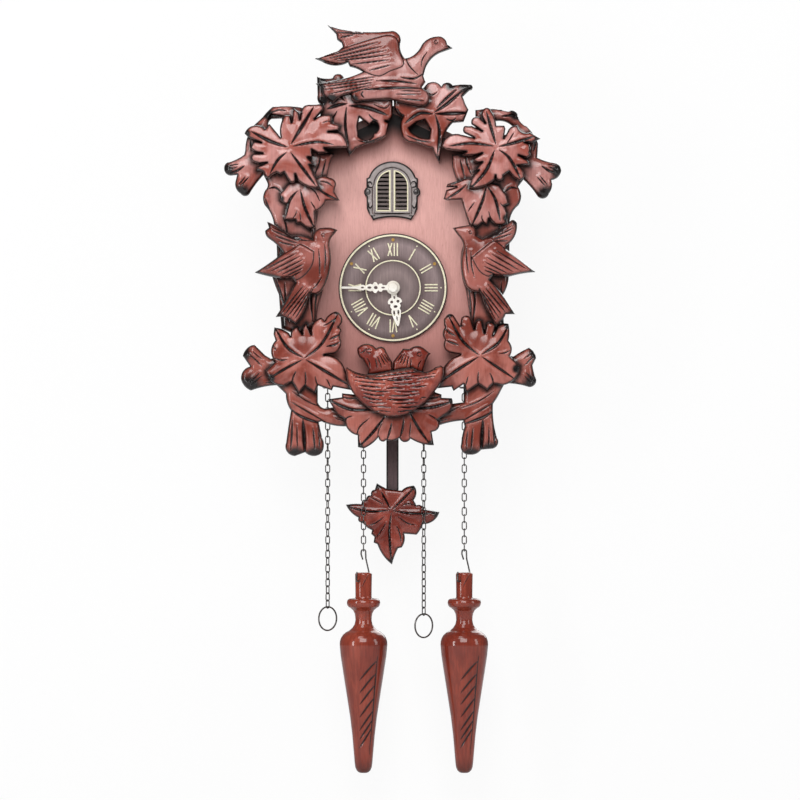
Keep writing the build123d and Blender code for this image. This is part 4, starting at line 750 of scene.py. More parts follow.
# ---- crest leaves -------------------------------------------------------------------------------
# Two leaves meet under the perch at the gable's peak. Each is pierced with a heart-shaped hole,
# and broad curved veins sweep out from the middle. The outer horns are scorched.
CREST_BACK, LEAF_FRONT = 88, 106
# Painted light: paler and pinker than the leaf wood below, for the sheen of light from above at the top
# of the clock.
crest_leaf_wood = carved_wood("crest_leaf_wood", (204, 144, 138), (146, 68, 54),
                              pooled=(52, 18, 15))
CREST_LEAVES = [
    ("left_crest_leaf", [
        (4.2, [(-39.1, 38.7), (-47, 37.5), (-56, 34.2)]),
        (5.2, [(-37, 37), (-22, 35.5), (-4.6, 29)]),
        (3.6, [(-39.5, 36), (-40.5, 20), (-37.7, 3)]),
        (3.0, [(-41, 41), (-47, 48), (-53, 52)]),
        (1.6, [(-17, 38.5), (-7, 35), (-1.5, 40)]),
        (1.8, [(-21, 30.5), (-17, 26), (-12, 24)]),
        (2.2, [(-31, 8), (-21, 6.4), (-9, 11)]),
        (2.0, [(-47, 33), (-51, 26), (-50, 22)]),
        (2.4, [(-33, 46), (-20, 44), (-4, 43)]),
        (1.8, [(-57, 56), (-52, 50), (-47, 42)]),
    ], [(-62, 60, 7), (-60, 41, 5), (-38, -5, 6)]),
    ("right_crest_leaf", [
        (4.2, [(35.2, 31.5), (45, 38), (59, 49.8)]),
        (3.4, [(37, 35), (45, 43), (54, 51)]),
        (4.6, [(36, 30), (50, 30.5), (65, 31)]),
        (3.8, [(36, 29), (39.5, 15), (37.8, -4)]),
        (4.0, [(34, 30), (22, 30.5), (10, 22)]),
        (1.6, [(2.8, 36), (6, 31), (10.5, 28.5)]),
        (2.2, [(33, 6), (22, 7.6), (11, 12)]),
        (2.0, [(45, 26), (50, 24.5), (54, 27)]),
        (2.6, [(30, 40), (20, 42), (6, 43)]),
        (1.8, [(24, 50), (32, 46), (38, 49)]),
    ], [(64, 54, 9), (49, 55, 5), (39, -10, 6)]),
]
for node, cuts, ends in CREST_LEAVES:
    # Painted shade: each crest leaf is stained dark round and under the top bird and vine leaf.
    covers = lying_on(("top_bird", 118), (node.replace("crest", "vine"), 118))
    relief = carve_relief(front_outline(node, LEAF_FRONT), CREST_BACK, LEAF_FRONT, cuts,
                          scorched=ends, round_over=3.4, crown=1.8, crown_reach=8, covers=covers)
    solid_piece(f"{node}_carving", [relief], crest_leaf_wood, "case", "carved_wood", node)


# ---- vine leaves ----------------------------------------------------------------------------
# The two big leaves at the shoulders stand proud of the branches on glued pegs. Five veins run
# from the middle of each to its lobes, cut as long lens shapes with a burnt-in shadow.
VINE_BACK, VINE_FRONT = 106, 118
PEG_BACK, PEG_FRONT = 98, 106.5
VINE_LEAVES = [
    ("left_vine_leaf", (-87.5, 1.9), [
        (4.4, [(-89.5, 1.5), (-104, 6.5), (-120, 14.8)]),
        (4.4, [(-86.2, 4), (-77.5, 18), (-67, 35.6)]),
        (3.4, [(-84.5, 2.2), (-65, 5.8), (-50.5, 3.6)]),
        (3.8, [(-86.6, -3), (-76, -17), (-65, -31.5)]),
        (3.4, [(-90, -3), (-97.5, -9.5), (-103.8, -20.6)]),
        (1.2, [(-60, 21.5), (-55, 23.5), (-51, 21.8)]),
    ], [(-124, 13, 3.5), (-62, -33, 3)]),
    ("right_vine_leaf", (87.9, 1.5), [
        (3.8, [(87, 4), (83.5, 16), (79, 31.5)]),
        (4.0, [(90, 2), (104, 5.5), (120, 10.8)]),
        (3.8, [(90, -1), (98.9, -8.3), (108, -25.4)]),
        (4.2, [(86, -1), (79, -18), (66, -33.2)]),
        (3.6, [(85.5, 2.2), (66, 4.6), (47, 2.2)]),
        (1.4, [(96, 4), (100, 10), (103, 15)]),
    ], [(123, 9, 3.5), (65, -33, 3)]),
]
for node, middle, cuts, ends in VINE_LEAVES:
    side = math.copysign(1, middle[0])
    relief = carve_relief(front_outline(node, VINE_FRONT), VINE_BACK, VINE_FRONT, cuts,
                          scorched=ends, round_over=2.6, crown=2.4, crown_reach=12)
    pegs = [peg(side * 93, 2, PEG_BACK, PEG_FRONT), peg(side * 84, -14, PEG_BACK, PEG_FRONT)]
    solid_piece(f"{node}_carving", [relief, *pegs], leaf_wood, "case", "carved_wood", node)


# ---- side, lower and bottom leaves ------------------------------------------------------------
# Five flatter leaves glued straight on the branches: one under each shoulder, one at each lower
# corner, and a broad one below the nest. The lower ones carry a redder stain.
FLAT_BACK, FLAT_FRONT = 98, 106
low_leaf_wood = carved_wood("low_leaf_wood", (186, 112, 100), (128, 52, 38),
                            pooled=(48, 14, 11), burnt=(14, 6, 6))
FLAT_LEAVES = [
    ("left_side_leaf", leaf_wood, [
        (3.6, [(-81, -35), (-88, -44), (-91, -58)]),
        (3.8, [(-78.5, -34), (-74.5, -50), (-66.5, -67)]),
        (3.2, [(-64, -33), (-56, -38.5), (-47, -42.5)]),
        (1.4, [(-86.5, -41), (-88.5, -44.5), (-92, -46)]),
        (1.4, [(-81.5, -52), (-83, -56), (-85, -59)]),
        (1.4, [(-79, -53), (-78.4, -57), (-78, -61)]),
        (1.6, [(-70, -44), (-67.4, -48), (-65, -52)]),
        (2.0, [(-62, -27), (-56, -28), (-51, -31.5)]),
        (1.6, [(-73, -30), (-66, -36), (-62, -44)]),
    ], [(-69, -69, 4), (-95, -42, 3)]),
    ("right_side_leaf", leaf_wood, [
        (3.6, [(79.1, -32), (75, -46), (66.6, -65.5)]),
        (3.6, [(80.7, -32), (87, -43), (91, -60.5)]),
        (3.0, [(62, -30), (55, -36), (45.5, -42)]),
        (1.4, [(93, -35), (97, -38.2), (101, -36)]),
        (1.4, [(91, -45), (94, -48.4), (98, -46.4)]),
        (1.4, [(75.5, -55), (75.6, -59), (78, -63)]),
        (1.4, [(81, -52), (83, -58.5), (87, -62)]),
        (1.6, [(69, -45), (66, -49), (63.5, -53)]),
        (2.0, [(60, -26), (53, -28.5), (48, -30.5)]),
    ], [(69, -67, 4), (96, -58, 3)]),
    ("left_lower_leaf", low_leaf_wood, [
        (3.4, [(-74.8, -177), (-60.1, -164.4), (-46.8, -139.6)]),
        (3.4, [(-76.5, -176.5), (-89.6, -168), (-99.5, -152)]),
        (3.2, [(-77, -178.5), (-90.5, -185.5), (-106, -195)]),
        (3.6, [(-73.5, -178.5), (-57.5, -188), (-37, -200)]),
        (1.8, [(-74.6, -202), (-74, -195), (-74.6, -188)]),
        (1.8, [(-86, -199), (-84.5, -193), (-82, -187.5)]),
        (1.6, [(-63, -202), (-65, -197), (-66, -192)]),
        (1.8, [(-59, -150), (-52.5, -146), (-47.5, -142)]),
        (2.4, [(-54, -161), (-48, -158.5), (-44, -156)]),
        (2.4, [(-57, -167), (-50, -166), (-45, -163)]),
        (1.4, [(-103, -165), (-100.5, -168), (-99, -171)]),
        (1.6, [(-101, -177), (-95, -178.8), (-89, -178)]),
        (1.4, [(-53, -201.5), (-55, -197), (-57, -194)]),
    ], [(-104, -194, 4), (-48, -137, 3), (-101, -152, 3)]),
    ("right_lower_leaf", low_leaf_wood, [
        (3.4, [(73, -174.5), (58.7, -162), (47.6, -142)]),
        (3.4, [(75, -174), (88.9, -164.6), (98, -149.4)]),
        (3.2, [(75.5, -176), (89, -185), (103, -194.5)]),
        (3.6, [(72.5, -176), (57, -185.5), (39.5, -197.5)]),
        (1.8, [(72.5, -201), (72, -195), (72.5, -188)]),
        (1.8, [(85.2, -200), (84.5, -195), (82, -189)]),
        (1.6, [(61, -202), (62.5, -197), (64, -192)]),
        (2.4, [(53, -158), (48, -155.5), (44.5, -152)]),
        (2.4, [(56, -166), (50, -164), (45, -162)]),
        (1.6, [(100, -170), (95, -172.5), (90, -173)]),
        (1.8, [(60, -150), (56, -148), (53, -144)]),
    ], [(105, -186, 4), (48, -140, 3), (97, -149, 3)]),
    ("bottom_leaf", low_leaf_wood, [
        (4.0, [(-16, -220.4), (-36.1, -220.4), (-55, -212)]),
        (3.4, [(-5.8, -225), (-17, -240), (-29, -252.4)]),
        (3.4, [(13.5, -222), (22, -237), (31, -249.4)]),
        (3.6, [(17, -219.8), (34, -218.5), (51, -213.6)]),
        (2.6, [(-1, -232), (-3, -240), (-5.2, -246.6)]),
        (2.6, [(9.2, -228), (8.2, -236), (6, -244.6)]),
        (1.6, [(39, -230), (35, -227.5), (29.5, -224.4)]),
        (1.6, [(-41.5, -229.5), (-38, -227), (-34, -226)]),
        (1.8, [(-20, -228), (-28, -235), (-31, -243)]),
        (1.8, [(-44, -209.5), (-38, -211), (-30, -211)]),
        (1.8, [(42, -208.5), (36, -210.5), (29, -211)]),
        (1.4, [(-9, -232), (-12, -238), (-13, -244)]),
        (1.4, [(15, -231), (14.5, -238), (14, -245)]),
    ], [(-29, -252, 4), (33, -250, 4), (-54, -213, 3), (50, -213, 3)]),
]
for node, wood, cuts, ends in FLAT_LEAVES:
    side = node.split("_")[0]
    # Painted shade: each flat leaf is stained dark round and under the pieces on top of it: vine leaf
    # and bird for the side leaves, nest for the others.
    covers = (lying_on((f"{side}_vine_leaf", 118), (f"{side}_bird", 118)) if "side" in node
              else lying_on(("nest", 122)))
    relief = carve_relief(front_outline(node, FLAT_FRONT), FLAT_BACK, FLAT_FRONT, cuts,
                          scorched=ends, round_over=2.6, crown=2.2, crown_reach=10, covers=covers)
    solid_piece(f"{node}_carving", [relief], wood, "case", "carved_wood", node)


# ---- birds ------------------------------------------------------------------------------------
# Three birds stand proudest of all: a big one on a round perch at the peak, wings spread, and
# one reaching up on each side. Bodies are well rounded, the near wing is left proud, and rows
# of long cuts make the feathers. The eyes are drilled rings.
BIRD_BACK, BIRD_FRONT = 106, 118
# Painted light: paler and pinker towards the top of the clock, for the sheen of light from above.
bird_wood = carved_wood("bird_wood", (174, 102, 92), (116, 48, 36), pooled=(52, 17, 13),
                        high=(-0.12, 0.06, (190, 134, 128), (132, 62, 51)))


def feathers(roots, tips, count, width, start=0.12, end=0.95):
    """Evenly spaced feather cuts from one line to another."""
    roots, tips = curve_through(roots), curve_through(tips)

    def spot(line, t):
        place = t * (len(line) - 1)
        k = min(int(place), len(line) - 2)
        return line[k] + (line[k + 1] - line[k]) * (place - k)

    rows = []
    for i in range(count):
        t = (i + 0.5) / count
        root, tip = spot(roots, t), spot(tips, t)
        rows.append((width, [tuple(root + (tip - root) * start), tuple(root + (tip - root) * 0.55),
                             tuple(root + (tip - root) * end)]))
    return rows


def eye(x, z, size=1.5, sides=12):
    """A drilled ring for an eye."""
    ring = [(x + size * math.cos(k * math.tau / sides), z + size * math.sin(k * math.tau / sides))
            for k in range(sides + 1)]
    half = sides // 2
    return [(1.1, ring[:half + 2]), (1.1, ring[half - 1:])]


TOP_WING = [(-65, 76.4), (-46.3, 83.2), (-32, 88.4), (-17.6, 93), (-6.1, 95.8), (0.6, 95),
            (4.4, 90.4), (6, 81.3), (8.8, 71), (-2, 66), (-12.8, 61.6), (-27.2, 66.6),
            (-37, 70.6), (-46.3, 72), (-58, 74.6)]
TOP_CUTS = [
    *feathers([(-8, 93), (-1, 86), (2, 78), (0, 70)], [(-62, 77.5), (-56, 75), (-45, 73), (-16, 64)],
              6, 1.9, 0.1, 0.96),
    *feathers([(-6, 99), (-20, 97.5), (-34, 97)], [(-52, 104), (-50, 98.5), (-45, 92)], 3, 2.0),
    *feathers([(-6, 63), (-10, 57), (-16, 53)], [(-64, 54.5), (-60, 49.5), (-49, 41.5)], 5, 1.8),
    (2.6, [(20, 55), (5, 57), (-14, 57.6)]),
    (2.4, [(26, 64), (18, 59.5), (6, 60.5)]),
    (1.6, [(10, 79), (14, 70), (22, 62)]),
    (1.4, [(29, 82), (25, 76), (24, 69)]),
    (1.2, [(43.5, 87), (47, 86.5), (50, 85.7)]),
    (3.2, [(25, 51.2), (2, 51.6), (-26, 49.8)]),
    (2.0, [(-24, 43), (-26.5, 46), (-25, 49)]),
    (1.8, [(27, 40.5), (18, 41.4), (6, 42.5)]),
    (1.4, [(24, 46.4), (14, 46), (2, 46.4)]),
    (1.2, [(4, 49), (14, 49), (24, 48.6)]),
    *eye(36.4, 90.2, 1.4),
]
LEFT_WING = [(-67, -87), (-75.4, -82), (-79.2, -81), (-84.3, -84.4), (-99, -93.3), (-110, -100.6),
             (-116, -104.3), (-111, -105.2), (-101.5, -107), (-95.8, -108.6), (-85.6, -108.4),
             (-82, -111), (-74, -106), (-68, -97)]
LEFT_CUTS = [
    *feathers([(-78, -85), (-73, -90), (-73, -98), (-77, -104)],
              [(-115, -104), (-104, -106), (-94, -108), (-85, -108.4)], 6, 1.7, 0.12, 0.93),
    *feathers([(-72, -79), (-76, -79.5), (-82, -83)], [(-104, -62.5), (-104.5, -68), (-98, -80)],
              5, 1.8, 0.1, 0.95),
    (2.0, [(-69, -78), (-82, -76), (-96, -69)]),
    *feathers([(-64, -113), (-69, -116), (-74, -112)], [(-83, -146.5), (-90, -143), (-97, -141)],
              5, 1.8, 0.1, 0.97),
    (1.8, [(-58, -80), (-57, -92), (-58, -104)]),
    (1.6, [(-63, -84), (-62, -96), (-62, -108)]),
    (1.2, [(-52.5, -71.5), (-50, -70.6), (-47.5, -69.4)]),
    (1.6, [(-66.5, -118), (-63, -113), (-60, -108)]),
    *eye(-59.1, -73, 1.2),
]
RIGHT_WING = [(66.8, -92), (75.1, -85), (84.6, -78.2), (91, -81.3), (97.4, -87), (103.8, -91.4),
              (116, -99.8), (119.5, -103.6), (107.6, -105.2), (98.7, -107.1), (84.6, -106.6),
              (80, -107.6), (73, -103)]
RIGHT_CUTS = [
    *feathers([(84, -82), (77, -88), (74, -96), (76, -103)],
              [(118, -103.4), (107, -105), (97, -107), (86, -106.6)], 6, 1.7, 0.12, 0.93),
    *feathers([(73, -79), (79, -78), (86, -78)], [(99, -63.5), (104, -66), (97, -80)],
              5, 1.8, 0.1, 0.95),
    *feathers([(69, -113), (73, -116), (79, -111)], [(86.5, -146), (93, -141.5), (102, -138.8)],
              5, 1.8, 0.1, 0.97),
    (1.8, [(62, -82), (62.4, -94), (64, -106)]),
    (1.6, [(66, -86), (66.4, -98), (69, -109)]),
    (1.2, [(54.5, -70.5), (52, -68.6), (50, -67)]),
    *eye(65.5, -70.6, 1.2),
]
BIRDS = [
    ("top_bird", TOP_CUTS, TOP_WING, [(-65, 76, 4), (-63, 52, 6), (-52, 41, 6), (-33, 42, 4),
                                      (50, 85.6, 4)]),
    ("left_bird", LEFT_CUTS, LEFT_WING, [(-117, -105, 5), (-107, -62, 5), (-99, -142, 6),
                                         (-47, -68.5, 3)]),
    ("right_bird", RIGHT_CUTS, RIGHT_WING, [(120, -104.5, 5), (105, -61, 5), (103, -140, 6),
                                            (50.5, -66.8, 3)]),
]
WING_RISE = 1.5
for node, cuts, wing, ends in BIRDS:
    relief = carve_relief(front_outline(node, BIRD_FRONT), BIRD_BACK, BIRD_FRONT, cuts,
                          [(WING_RISE, wing)], ends, round_over=4.2, crown=1.3, crown_reach=6)
    parts = [relief]
    if node != "top_bird":
        side = -1 if node == "left_bird" else 1
        parts += [peg(x, z, PEG_BACK, PEG_FRONT)
                  for x, z in (((-85, -96), (-72, -100)) if side < 0 else ((86, -96), (73, -100)))]
    solid_piece(f"{node}_carving", parts, bird_wood, "case", "carved_wood", node)


# ---- nest and chicks ----------------------------------------------------------------------------
# A deep bowl of woven twigs, cut as rows of long lens grooves that follow its curve, with a
# rolled rim and two chicks behind it, beaks together. It is the thickest of the carvings.
NEST_BACK, NEST_FRONT = 106, 122
CHICK_BACK, CHICK_FRONT = 98, 106
nest_wood = carved_wood("nest_wood", (178, 92, 76), (124, 42, 30), pooled=(40, 11, 9))
TWIG_ROWS = 9
dice = np.random.default_rng(12)
twig_cuts = [(1.5, [(-37.5, -188.2), (-20, -193), (0, -191), (18, -189), (39, -186.6)]),
             (1.2, [(-36, -191), (-16, -195.4), (4, -193.8), (22, -191.6), (38.5, -189.5)])]
for row in range(TWIG_ROWS):
    level = -195.8 - row * 3.3
    reach = 37 * math.sqrt(max(0.0, 1 - ((level + 190) / 37) ** 2))
    x = -reach + dice.uniform(0, 6)
    while x < reach - 7:
        length = dice.uniform(13, 28)
        end = min(x + length, reach - 1)
        sag = [4.6 * ((v - 1) / 40) ** 2 for v in (x, (x + end) / 2, end)]
        lift = dice.uniform(-0.8, 0.8)
        twig_cuts.append((dice.uniform(1.2, 2.1),
                          [(x, level + sag[0] + lift), ((x + end) / 2, level + sag[1] - lift * 0.4),
                           (end, level + sag[2] + dice.uniform(-0.6, 0.6))]))
        x = end + dice.uniform(1.5, 5)
bowl = carve_relief(front_outline("nest", NEST_FRONT), NEST_BACK, NEST_FRONT, twig_cuts,
                    round_over=6.5, crown=0.8, crown_reach=10)
chick_cuts = [
    *eye(-20.4, -171, 1.7), *eye(22.3, -173.7, 1.7),
    (1.4, [(-28.5, -172.5), (-25, -171.5), (-22.5, -168)]),
    *feathers([(-9, -171), (-12, -173), (-16, -176)], [(-2, -180), (-6, -184), (-14, -187)], 5, 1.3),
    *feathers([(9, -171), (12, -173), (16, -176)], [(3, -180), (8, -184), (16, -187)], 5, 1.3),
    (1.3, [(-22, -177), (-20, -181), (-19.5, -186)]), (1.3, [(25, -178), (22, -182), (21, -187)]),
]
chicks = carve_relief(front_outline("nest", CHICK_FRONT), CHICK_BACK, CHICK_FRONT, chick_cuts,
                      round_over=3.4, crown=1.0, crown_reach=5)
solid_piece("nest_carving", [bowl, chicks], nest_wood, "case", "carved_wood", "nest")


# ---- dial and hands ---------------------------------------------------------------------------
# A stained wooden disc, grey-brown with darker bands sprayed round it, carries raised gilt rings,
# bar numerals and studs; the big studs are amber. The pierced hands are ivory plastic.
DIAL_MIDDLE = (0.0, -0.117)


def round_dial(tree):
    """The socket of the distance from the middle of the dial."""
    place = put(tree, "ShaderNodeTexCoord")
    centred = put(tree, "ShaderNodeMapping", [("Vector", place.outputs["Object"]),
                                              ("Location", (-DIAL_MIDDLE[0], 0, -DIAL_MIDDLE[1])),
                                              ("Scale", (1, 0, 1))])
    length = put(tree, "ShaderNodeVectorMath", [(0, centred.outputs[0])], operation="LENGTH")
    return length.outputs["Value"], centred.outputs[0]


dial_stain, tree = new_material("dial_stain")
radius, centred = round_dial(tree)
grain = grain_in(tree, fineness=1200.0)
bands = put(tree, "ShaderNodeValToRGB", [("Fac", maths(tree, "DIVIDE", radius, 0.0465))])
BANDS = [(0.0, (128, 108, 106)), (0.30, (150, 130, 128)), (0.52, (84, 66, 66)),
         (0.62, (126, 106, 106)), (0.80, (150, 130, 130)), (0.93, (86, 68, 68)),
         (1.0, (60, 46, 46))]
ramp = bands.color_ramp
ramp.elements[0].color = tint(*BANDS[0][1])
ramp.elements[1].color = tint(*BANDS[-1][1])
for at, colour in BANDS[1:-1]:
    ramp.elements.new(at).color = tint(*colour)
high = put(tree, "ShaderNodeSeparateXYZ", [(0, centred)])
falls = ranged(tree, high.outputs["Z"], -0.045, 0.03, 0.45, 0.0)
stain = blended(tree, falls, bands.outputs["Color"], tint(84, 66, 66))
stain = blended(tree, ranged(tree, grain.outputs["Fibres"], 0, 1, 0.3, 0.0), stain,
                tint(70, 54, 54))
shader(tree, [("Base Color", stain), ("Roughness", 0.36), ("Coat Weight", 0.3),
              ("Coat Roughness", 0.2)], grain.outputs["Fibres"], 0.00005)
dress(dial_stain, "dial_plate")

gilding, tree = new_material("gilding")
patch, rub = worn(tree, 320.0, 0.2, 0.34)
shader(tree, [("Base Color", blended(tree, patch, tint(250, 245, 220), tint(236, 226, 188))),
              ("Metallic", 0.2), ("Roughness", rub)], patch, 0.00002)
dress(gilding, "dial_rings")

# The four big studs sit on the seam between gilt and amber lacquer: each is dabbed round its
# own middle.
AMBER_TURNS = (0, 60, 180, 300)
STUD_RING, STUD_DAB = 0.0408, 0.0019
amber_gilding, tree = new_material("gilding_with_amber_studs")
place = put(tree, "ShaderNodeTexCoord")
patch, rub = worn(tree, 320.0, 0.2, 0.34)
gilt = blended(tree, patch, tint(250, 245, 220), tint(236, 226, 188))
for turn in AMBER_TURNS:
    a = math.radians(turn)
    spot = (DIAL_MIDDLE[0] + STUD_RING * math.sin(a), 0, DIAL_MIDDLE[1] + STUD_RING * math.cos(a))
    flat = put(tree, "ShaderNodeVectorMath", [(0, place.outputs["Object"]), (1, (1, 0, 1))],
               operation="MULTIPLY")
    away = put(tree, "ShaderNodeVectorMath", [(0, flat.outputs[0]), (1, spot)],
               operation="DISTANCE")
    dab = ranged(tree, away.outputs["Value"], STUD_DAB, STUD_DAB + 0.0003, 1.0, 0.0)
    gilt = blended(tree, dab, gilt, tint(178, 138, 70))
shader(tree, [("Base Color", gilt), ("Metallic", 0.3), ("Roughness", rub), ("Coat Weight", 0.4)],
       patch, 0.00002)
dress(amber_gilding, "dial_numerals")

ivory = moulded("ivory_hand_plastic", tint(244, 240, 232), tint(224, 216, 204), 0.34, 0.3)
dress(ivory, "hour_hand", "minute_hand", "hand_cap")


# ---- the cuckoo's doorway ---------------------------------------------------------------------
# A cast grey surround with a blackened rim and four scrolls holds two arched shutters with sloping
# louvres. Two screws fix it. The painted cuckoo waits behind on its sliding carriage.
DOOR_X, DOOR_SPRING = -0.0007, -0.0305
DOOR_FOOT, HINGE_X, PIN_TOP = -0.0533, 0.0156, -0.0297
surround_grey, tree = new_material("surround_cast_grey")
patch, rub = worn(tree, 240.0, 0.36, 0.5)
grey = blended(tree, patch, tint(168, 158, 156), tint(122, 112, 110))
for label, low, high in (("edge", 0.46, 0.6), ("cut", 0.2, 0.5)):
    mark = put(tree, "ShaderNodeAttribute", attribute_name=label)
    grey = blended(tree, ranged(tree, mark.outputs["Fac"], low, high), grey, tint(16, 12, 12))
shader(tree, [("Base Color", grey), ("Metallic", 0.25), ("Roughness", rub)], patch, 0.00006)
SCROLLS = [
    [(-21.3, -29.4), (-21.2, -27.7), (-19.7, -27.1), (-18.1, -28.1), (-18.3, -29.6)],
    [(-21.1, -28.6), (-20.5, -31.5), (-16.6, -31.9)],
    [(-20.7, -44.6), (-20.7, -47.6), (-19.5, -49.4), (-18.1, -48), (-16.6, -45.4)],
    [(15.3, -28.9), (16.5, -27), (18.2, -26.7), (19.6, -28.5), (19.2, -31), (14.9, -31.9)],
    [(15.4, -45.6), (17.0, -48.4), (18.2, -49.2), (19.6, -47.6), (19.6, -44.6)],
    [(-15.4, -54.4), (-0.7, -54), (13.8, -54.4)],
]
SURROUND_BACK, SURROUND_FRONT = 88, 91
CLEAR_OF_DOOR = 18.8
points, faces, marks = carve_relief(
    front_outline("shutter_surround", SURROUND_FRONT), SURROUND_BACK, SURROUND_FRONT,
    [(1.3, scroll) for scroll in SCROLLS], round_over=0.9, crown=0.0, step=0.42)
above = np.maximum(points[:, 2] - DOOR_SPRING * 1000, 0)
by_door = np.hypot(points[:, 0] - DOOR_X * 1000, above) < CLEAR_OF_DOOR
marks[by_door & (points[:, 2] > DOOR_FOOT * 1000 - 2), 1] = 0
pins = []
for side in (-1, 1):
    x = (DOOR_X + side * HINGE_X) * 1000
    pins.append(round_bar((x, -SURROUND_FRONT, DOOR_FOOT * 1000 - 1.5),
                          (x, -SURROUND_FRONT, PIN_TOP * 1000), 0.4, 16, 0))
solid_piece("shutter_surround_casting", [(points, faces, marks), *pins], surround_grey, "case",
            "grey_plastic", "shutter_surround")

# Shutters: a thin gilt line round each window, grey stiles and dark louvres set deeper.
GILT_OUT, GILT_IN, GILT_LOW, GILT_FADE = 0.0136, 0.0014, -0.0519, 0.0002
shutter_paint, tree = new_material("shutter_gilt_and_grey")
place = put(tree, "ShaderNodeTexCoord")
split = put(tree, "ShaderNodeSeparateXYZ", [(0, place.outputs["Object"])])
turned_to = put(tree, "ShaderNodeNewGeometry")
slope = put(tree, "ShaderNodeSeparateXYZ", [(0, turned_to.outputs["Normal"])])
sloping = ranged(tree, maths(tree, "ABSOLUTE", slope.outputs["Z"]), 0.2, 0.4)
patch, rub = worn(tree, 300.0, 0.3, 0.45)
off = maths(tree, "ABSOLUTE", maths(tree, "SUBTRACT", split.outputs["X"], DOOR_X))
over = maths(tree, "MAXIMUM", maths(tree, "SUBTRACT", split.outputs["Z"], DOOR_SPRING), 0.0)
reach = maths(tree, "SQRT", maths(tree, "ADD", maths(tree, "MULTIPLY", off, off),
                                  maths(tree, "MULTIPLY", over, over)))
plain = maths(tree, "MAXIMUM", ranged(tree, reach, GILT_OUT, GILT_OUT + GILT_FADE),
              ranged(tree, off, GILT_IN - GILT_FADE, GILT_IN, 1.0, 0.0))
plain = maths(tree, "MAXIMUM", plain, ranged(tree, split.outputs["Z"], GILT_LOW - GILT_FADE,
                                             GILT_LOW, 1.0, 0.0))
slat = blended(tree, patch, tint(134, 122, 118), tint(88, 78, 76))
gilt = blended(tree, plain, blended(tree, patch, tint(232, 226, 196), tint(206, 198, 164)),
               blended(tree, patch, tint(168, 158, 156), tint(128, 118, 116)))
shader(tree, [("Base Color", blended(tree, sloping, gilt, slat)), ("Metallic", 0.35),
              ("Roughness", rub)], patch, 0.00003)
dress(shutter_paint, "left_shutter", "right_shutter")

# The bird is sprayed brown with a paler breast and a yellow beak towards the front.
bird_paint, tree = new_material("painted_cuckoo")
place = put(tree, "ShaderNodeTexCoord")
split = put(tree, "ShaderNodeSeparateXYZ", [(0, place.outputs["Object"])])
bird_low, bird_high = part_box("cuckoo")
belly = ranged(tree, split.outputs["Z"], bird_low.z + 0.004, bird_high.z - 0.006)
barred = put(tree, "ShaderNodeTexWave", [("Vector", place.outputs["Object"]), ("Scale", 260.0),
                                         ("Distortion", 3.0)], bands_direction="Z")
coat = blended(tree, belly, tint(206, 190, 160), tint(112, 78, 48))
coat = blended(tree, maths(tree, "MULTIPLY", barred.outputs["Fac"], 0.35), coat, tint(60, 40, 26))
beak = ranged(tree, split.outputs["Y"], bird_low.y + 0.005, bird_low.y + 0.0035)
coat = blended(tree, beak, coat, tint(232, 178, 40))
shader(tree, [("Base Color", coat), ("Roughness", 0.45), ("Coat Weight", 0.2)],
       barred.outputs["Fac"], 0.00008)
dress(bird_paint, "cuckoo")

# Two domed screws with a straight slot hold the surround, one in the middle of each scroll.
screw_low, screw_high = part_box("surround_screws")
HEAD_R = 0.0023
SCREW_FRONT = -screw_low.y
tree = bpy.data.node_groups.new("slotted_screws", "GeometryNodeTree")
tree.is_modifier = True
SCREW_INPUTS = [("Head Radius", "NodeSocketFloat", HEAD_R), ("Head Height", "NodeSocketFloat", 0.0011),
                ("Slot Width", "NodeSocketFloat", 0.0006), ("Shank Radius", "NodeSocketFloat", 0.00095),
                ("Shank Length", "NodeSocketFloat", 0.0075), ("Finish", "NodeSocketMaterial", None)]
tree.interface.new_socket("Geometry", in_out="INPUT", socket_type="NodeSocketGeometry")
for label, kind, _ in SCREW_INPUTS:
    tree.interface.new_socket(label, in_out="INPUT", socket_type=kind)
tree.interface.new_socket("Geometry", in_out="OUTPUT", socket_type="NodeSocketGeometry")
given = tree.nodes.new("NodeGroupInput")
result = tree.nodes.new("NodeGroupOutput")
ball = put(tree, "GeometryNodeMeshUVSphere", [("Segments", 28), ("Rings", 14),
                                              ("Radius", given.outputs["Head Radius"])])
squat = put(tree, "ShaderNodeMath", [(0, given.outputs["Head Height"]),
                                     (1, given.outputs["Head Radius"])], operation="DIVIDE")
dome_scale = put(tree, "ShaderNodeCombineXYZ", [("X", 1.0), ("Y", 1.0), ("Z", squat.outputs[0])])
dome = put(tree, "GeometryNodeTransform", [("Geometry", ball.outputs["Mesh"]),
                                           ("Scale", dome_scale.outputs[0])])
slot_size = put(tree, "ShaderNodeCombineXYZ", [("X", 0.0052), ("Y", given.outputs["Slot Width"]),
                                               ("Z", 0.0012)])
slot_block = put(tree, "GeometryNodeMeshCube", [("Size", slot_size.outputs[0])])
slot_place = put(tree, "GeometryNodeTransform", [("Geometry", slot_block.outputs["Mesh"]),
                                                 ("Translation", (0, 0, 0.0011))])
slotted = put(tree, "GeometryNodeMeshBoolean", [("Mesh 1", dome.outputs["Geometry"]),
                                                ("Mesh 2", slot_place.outputs["Geometry"])],
              operation="DIFFERENCE")
shank = put(tree, "GeometryNodeMeshCylinder", [("Vertices", 16),
                                               ("Radius", given.outputs["Shank Radius"]),
                                               ("Depth", given.outputs["Shank Length"])])
sunk = put(tree, "ShaderNodeMath", [(0, given.outputs["Shank Length"]), (1, -0.5)],
           operation="MULTIPLY")
shank_drop = put(tree, "ShaderNodeCombineXYZ", [("Z", sunk.outputs[0])])
shank_place = put(tree, "GeometryNodeTransform", [("Geometry", shank.outputs["Mesh"]),
                                                  ("Translation", shank_drop.outputs[0])])
screw = tree.nodes.new("GeometryNodeJoinGeometry")
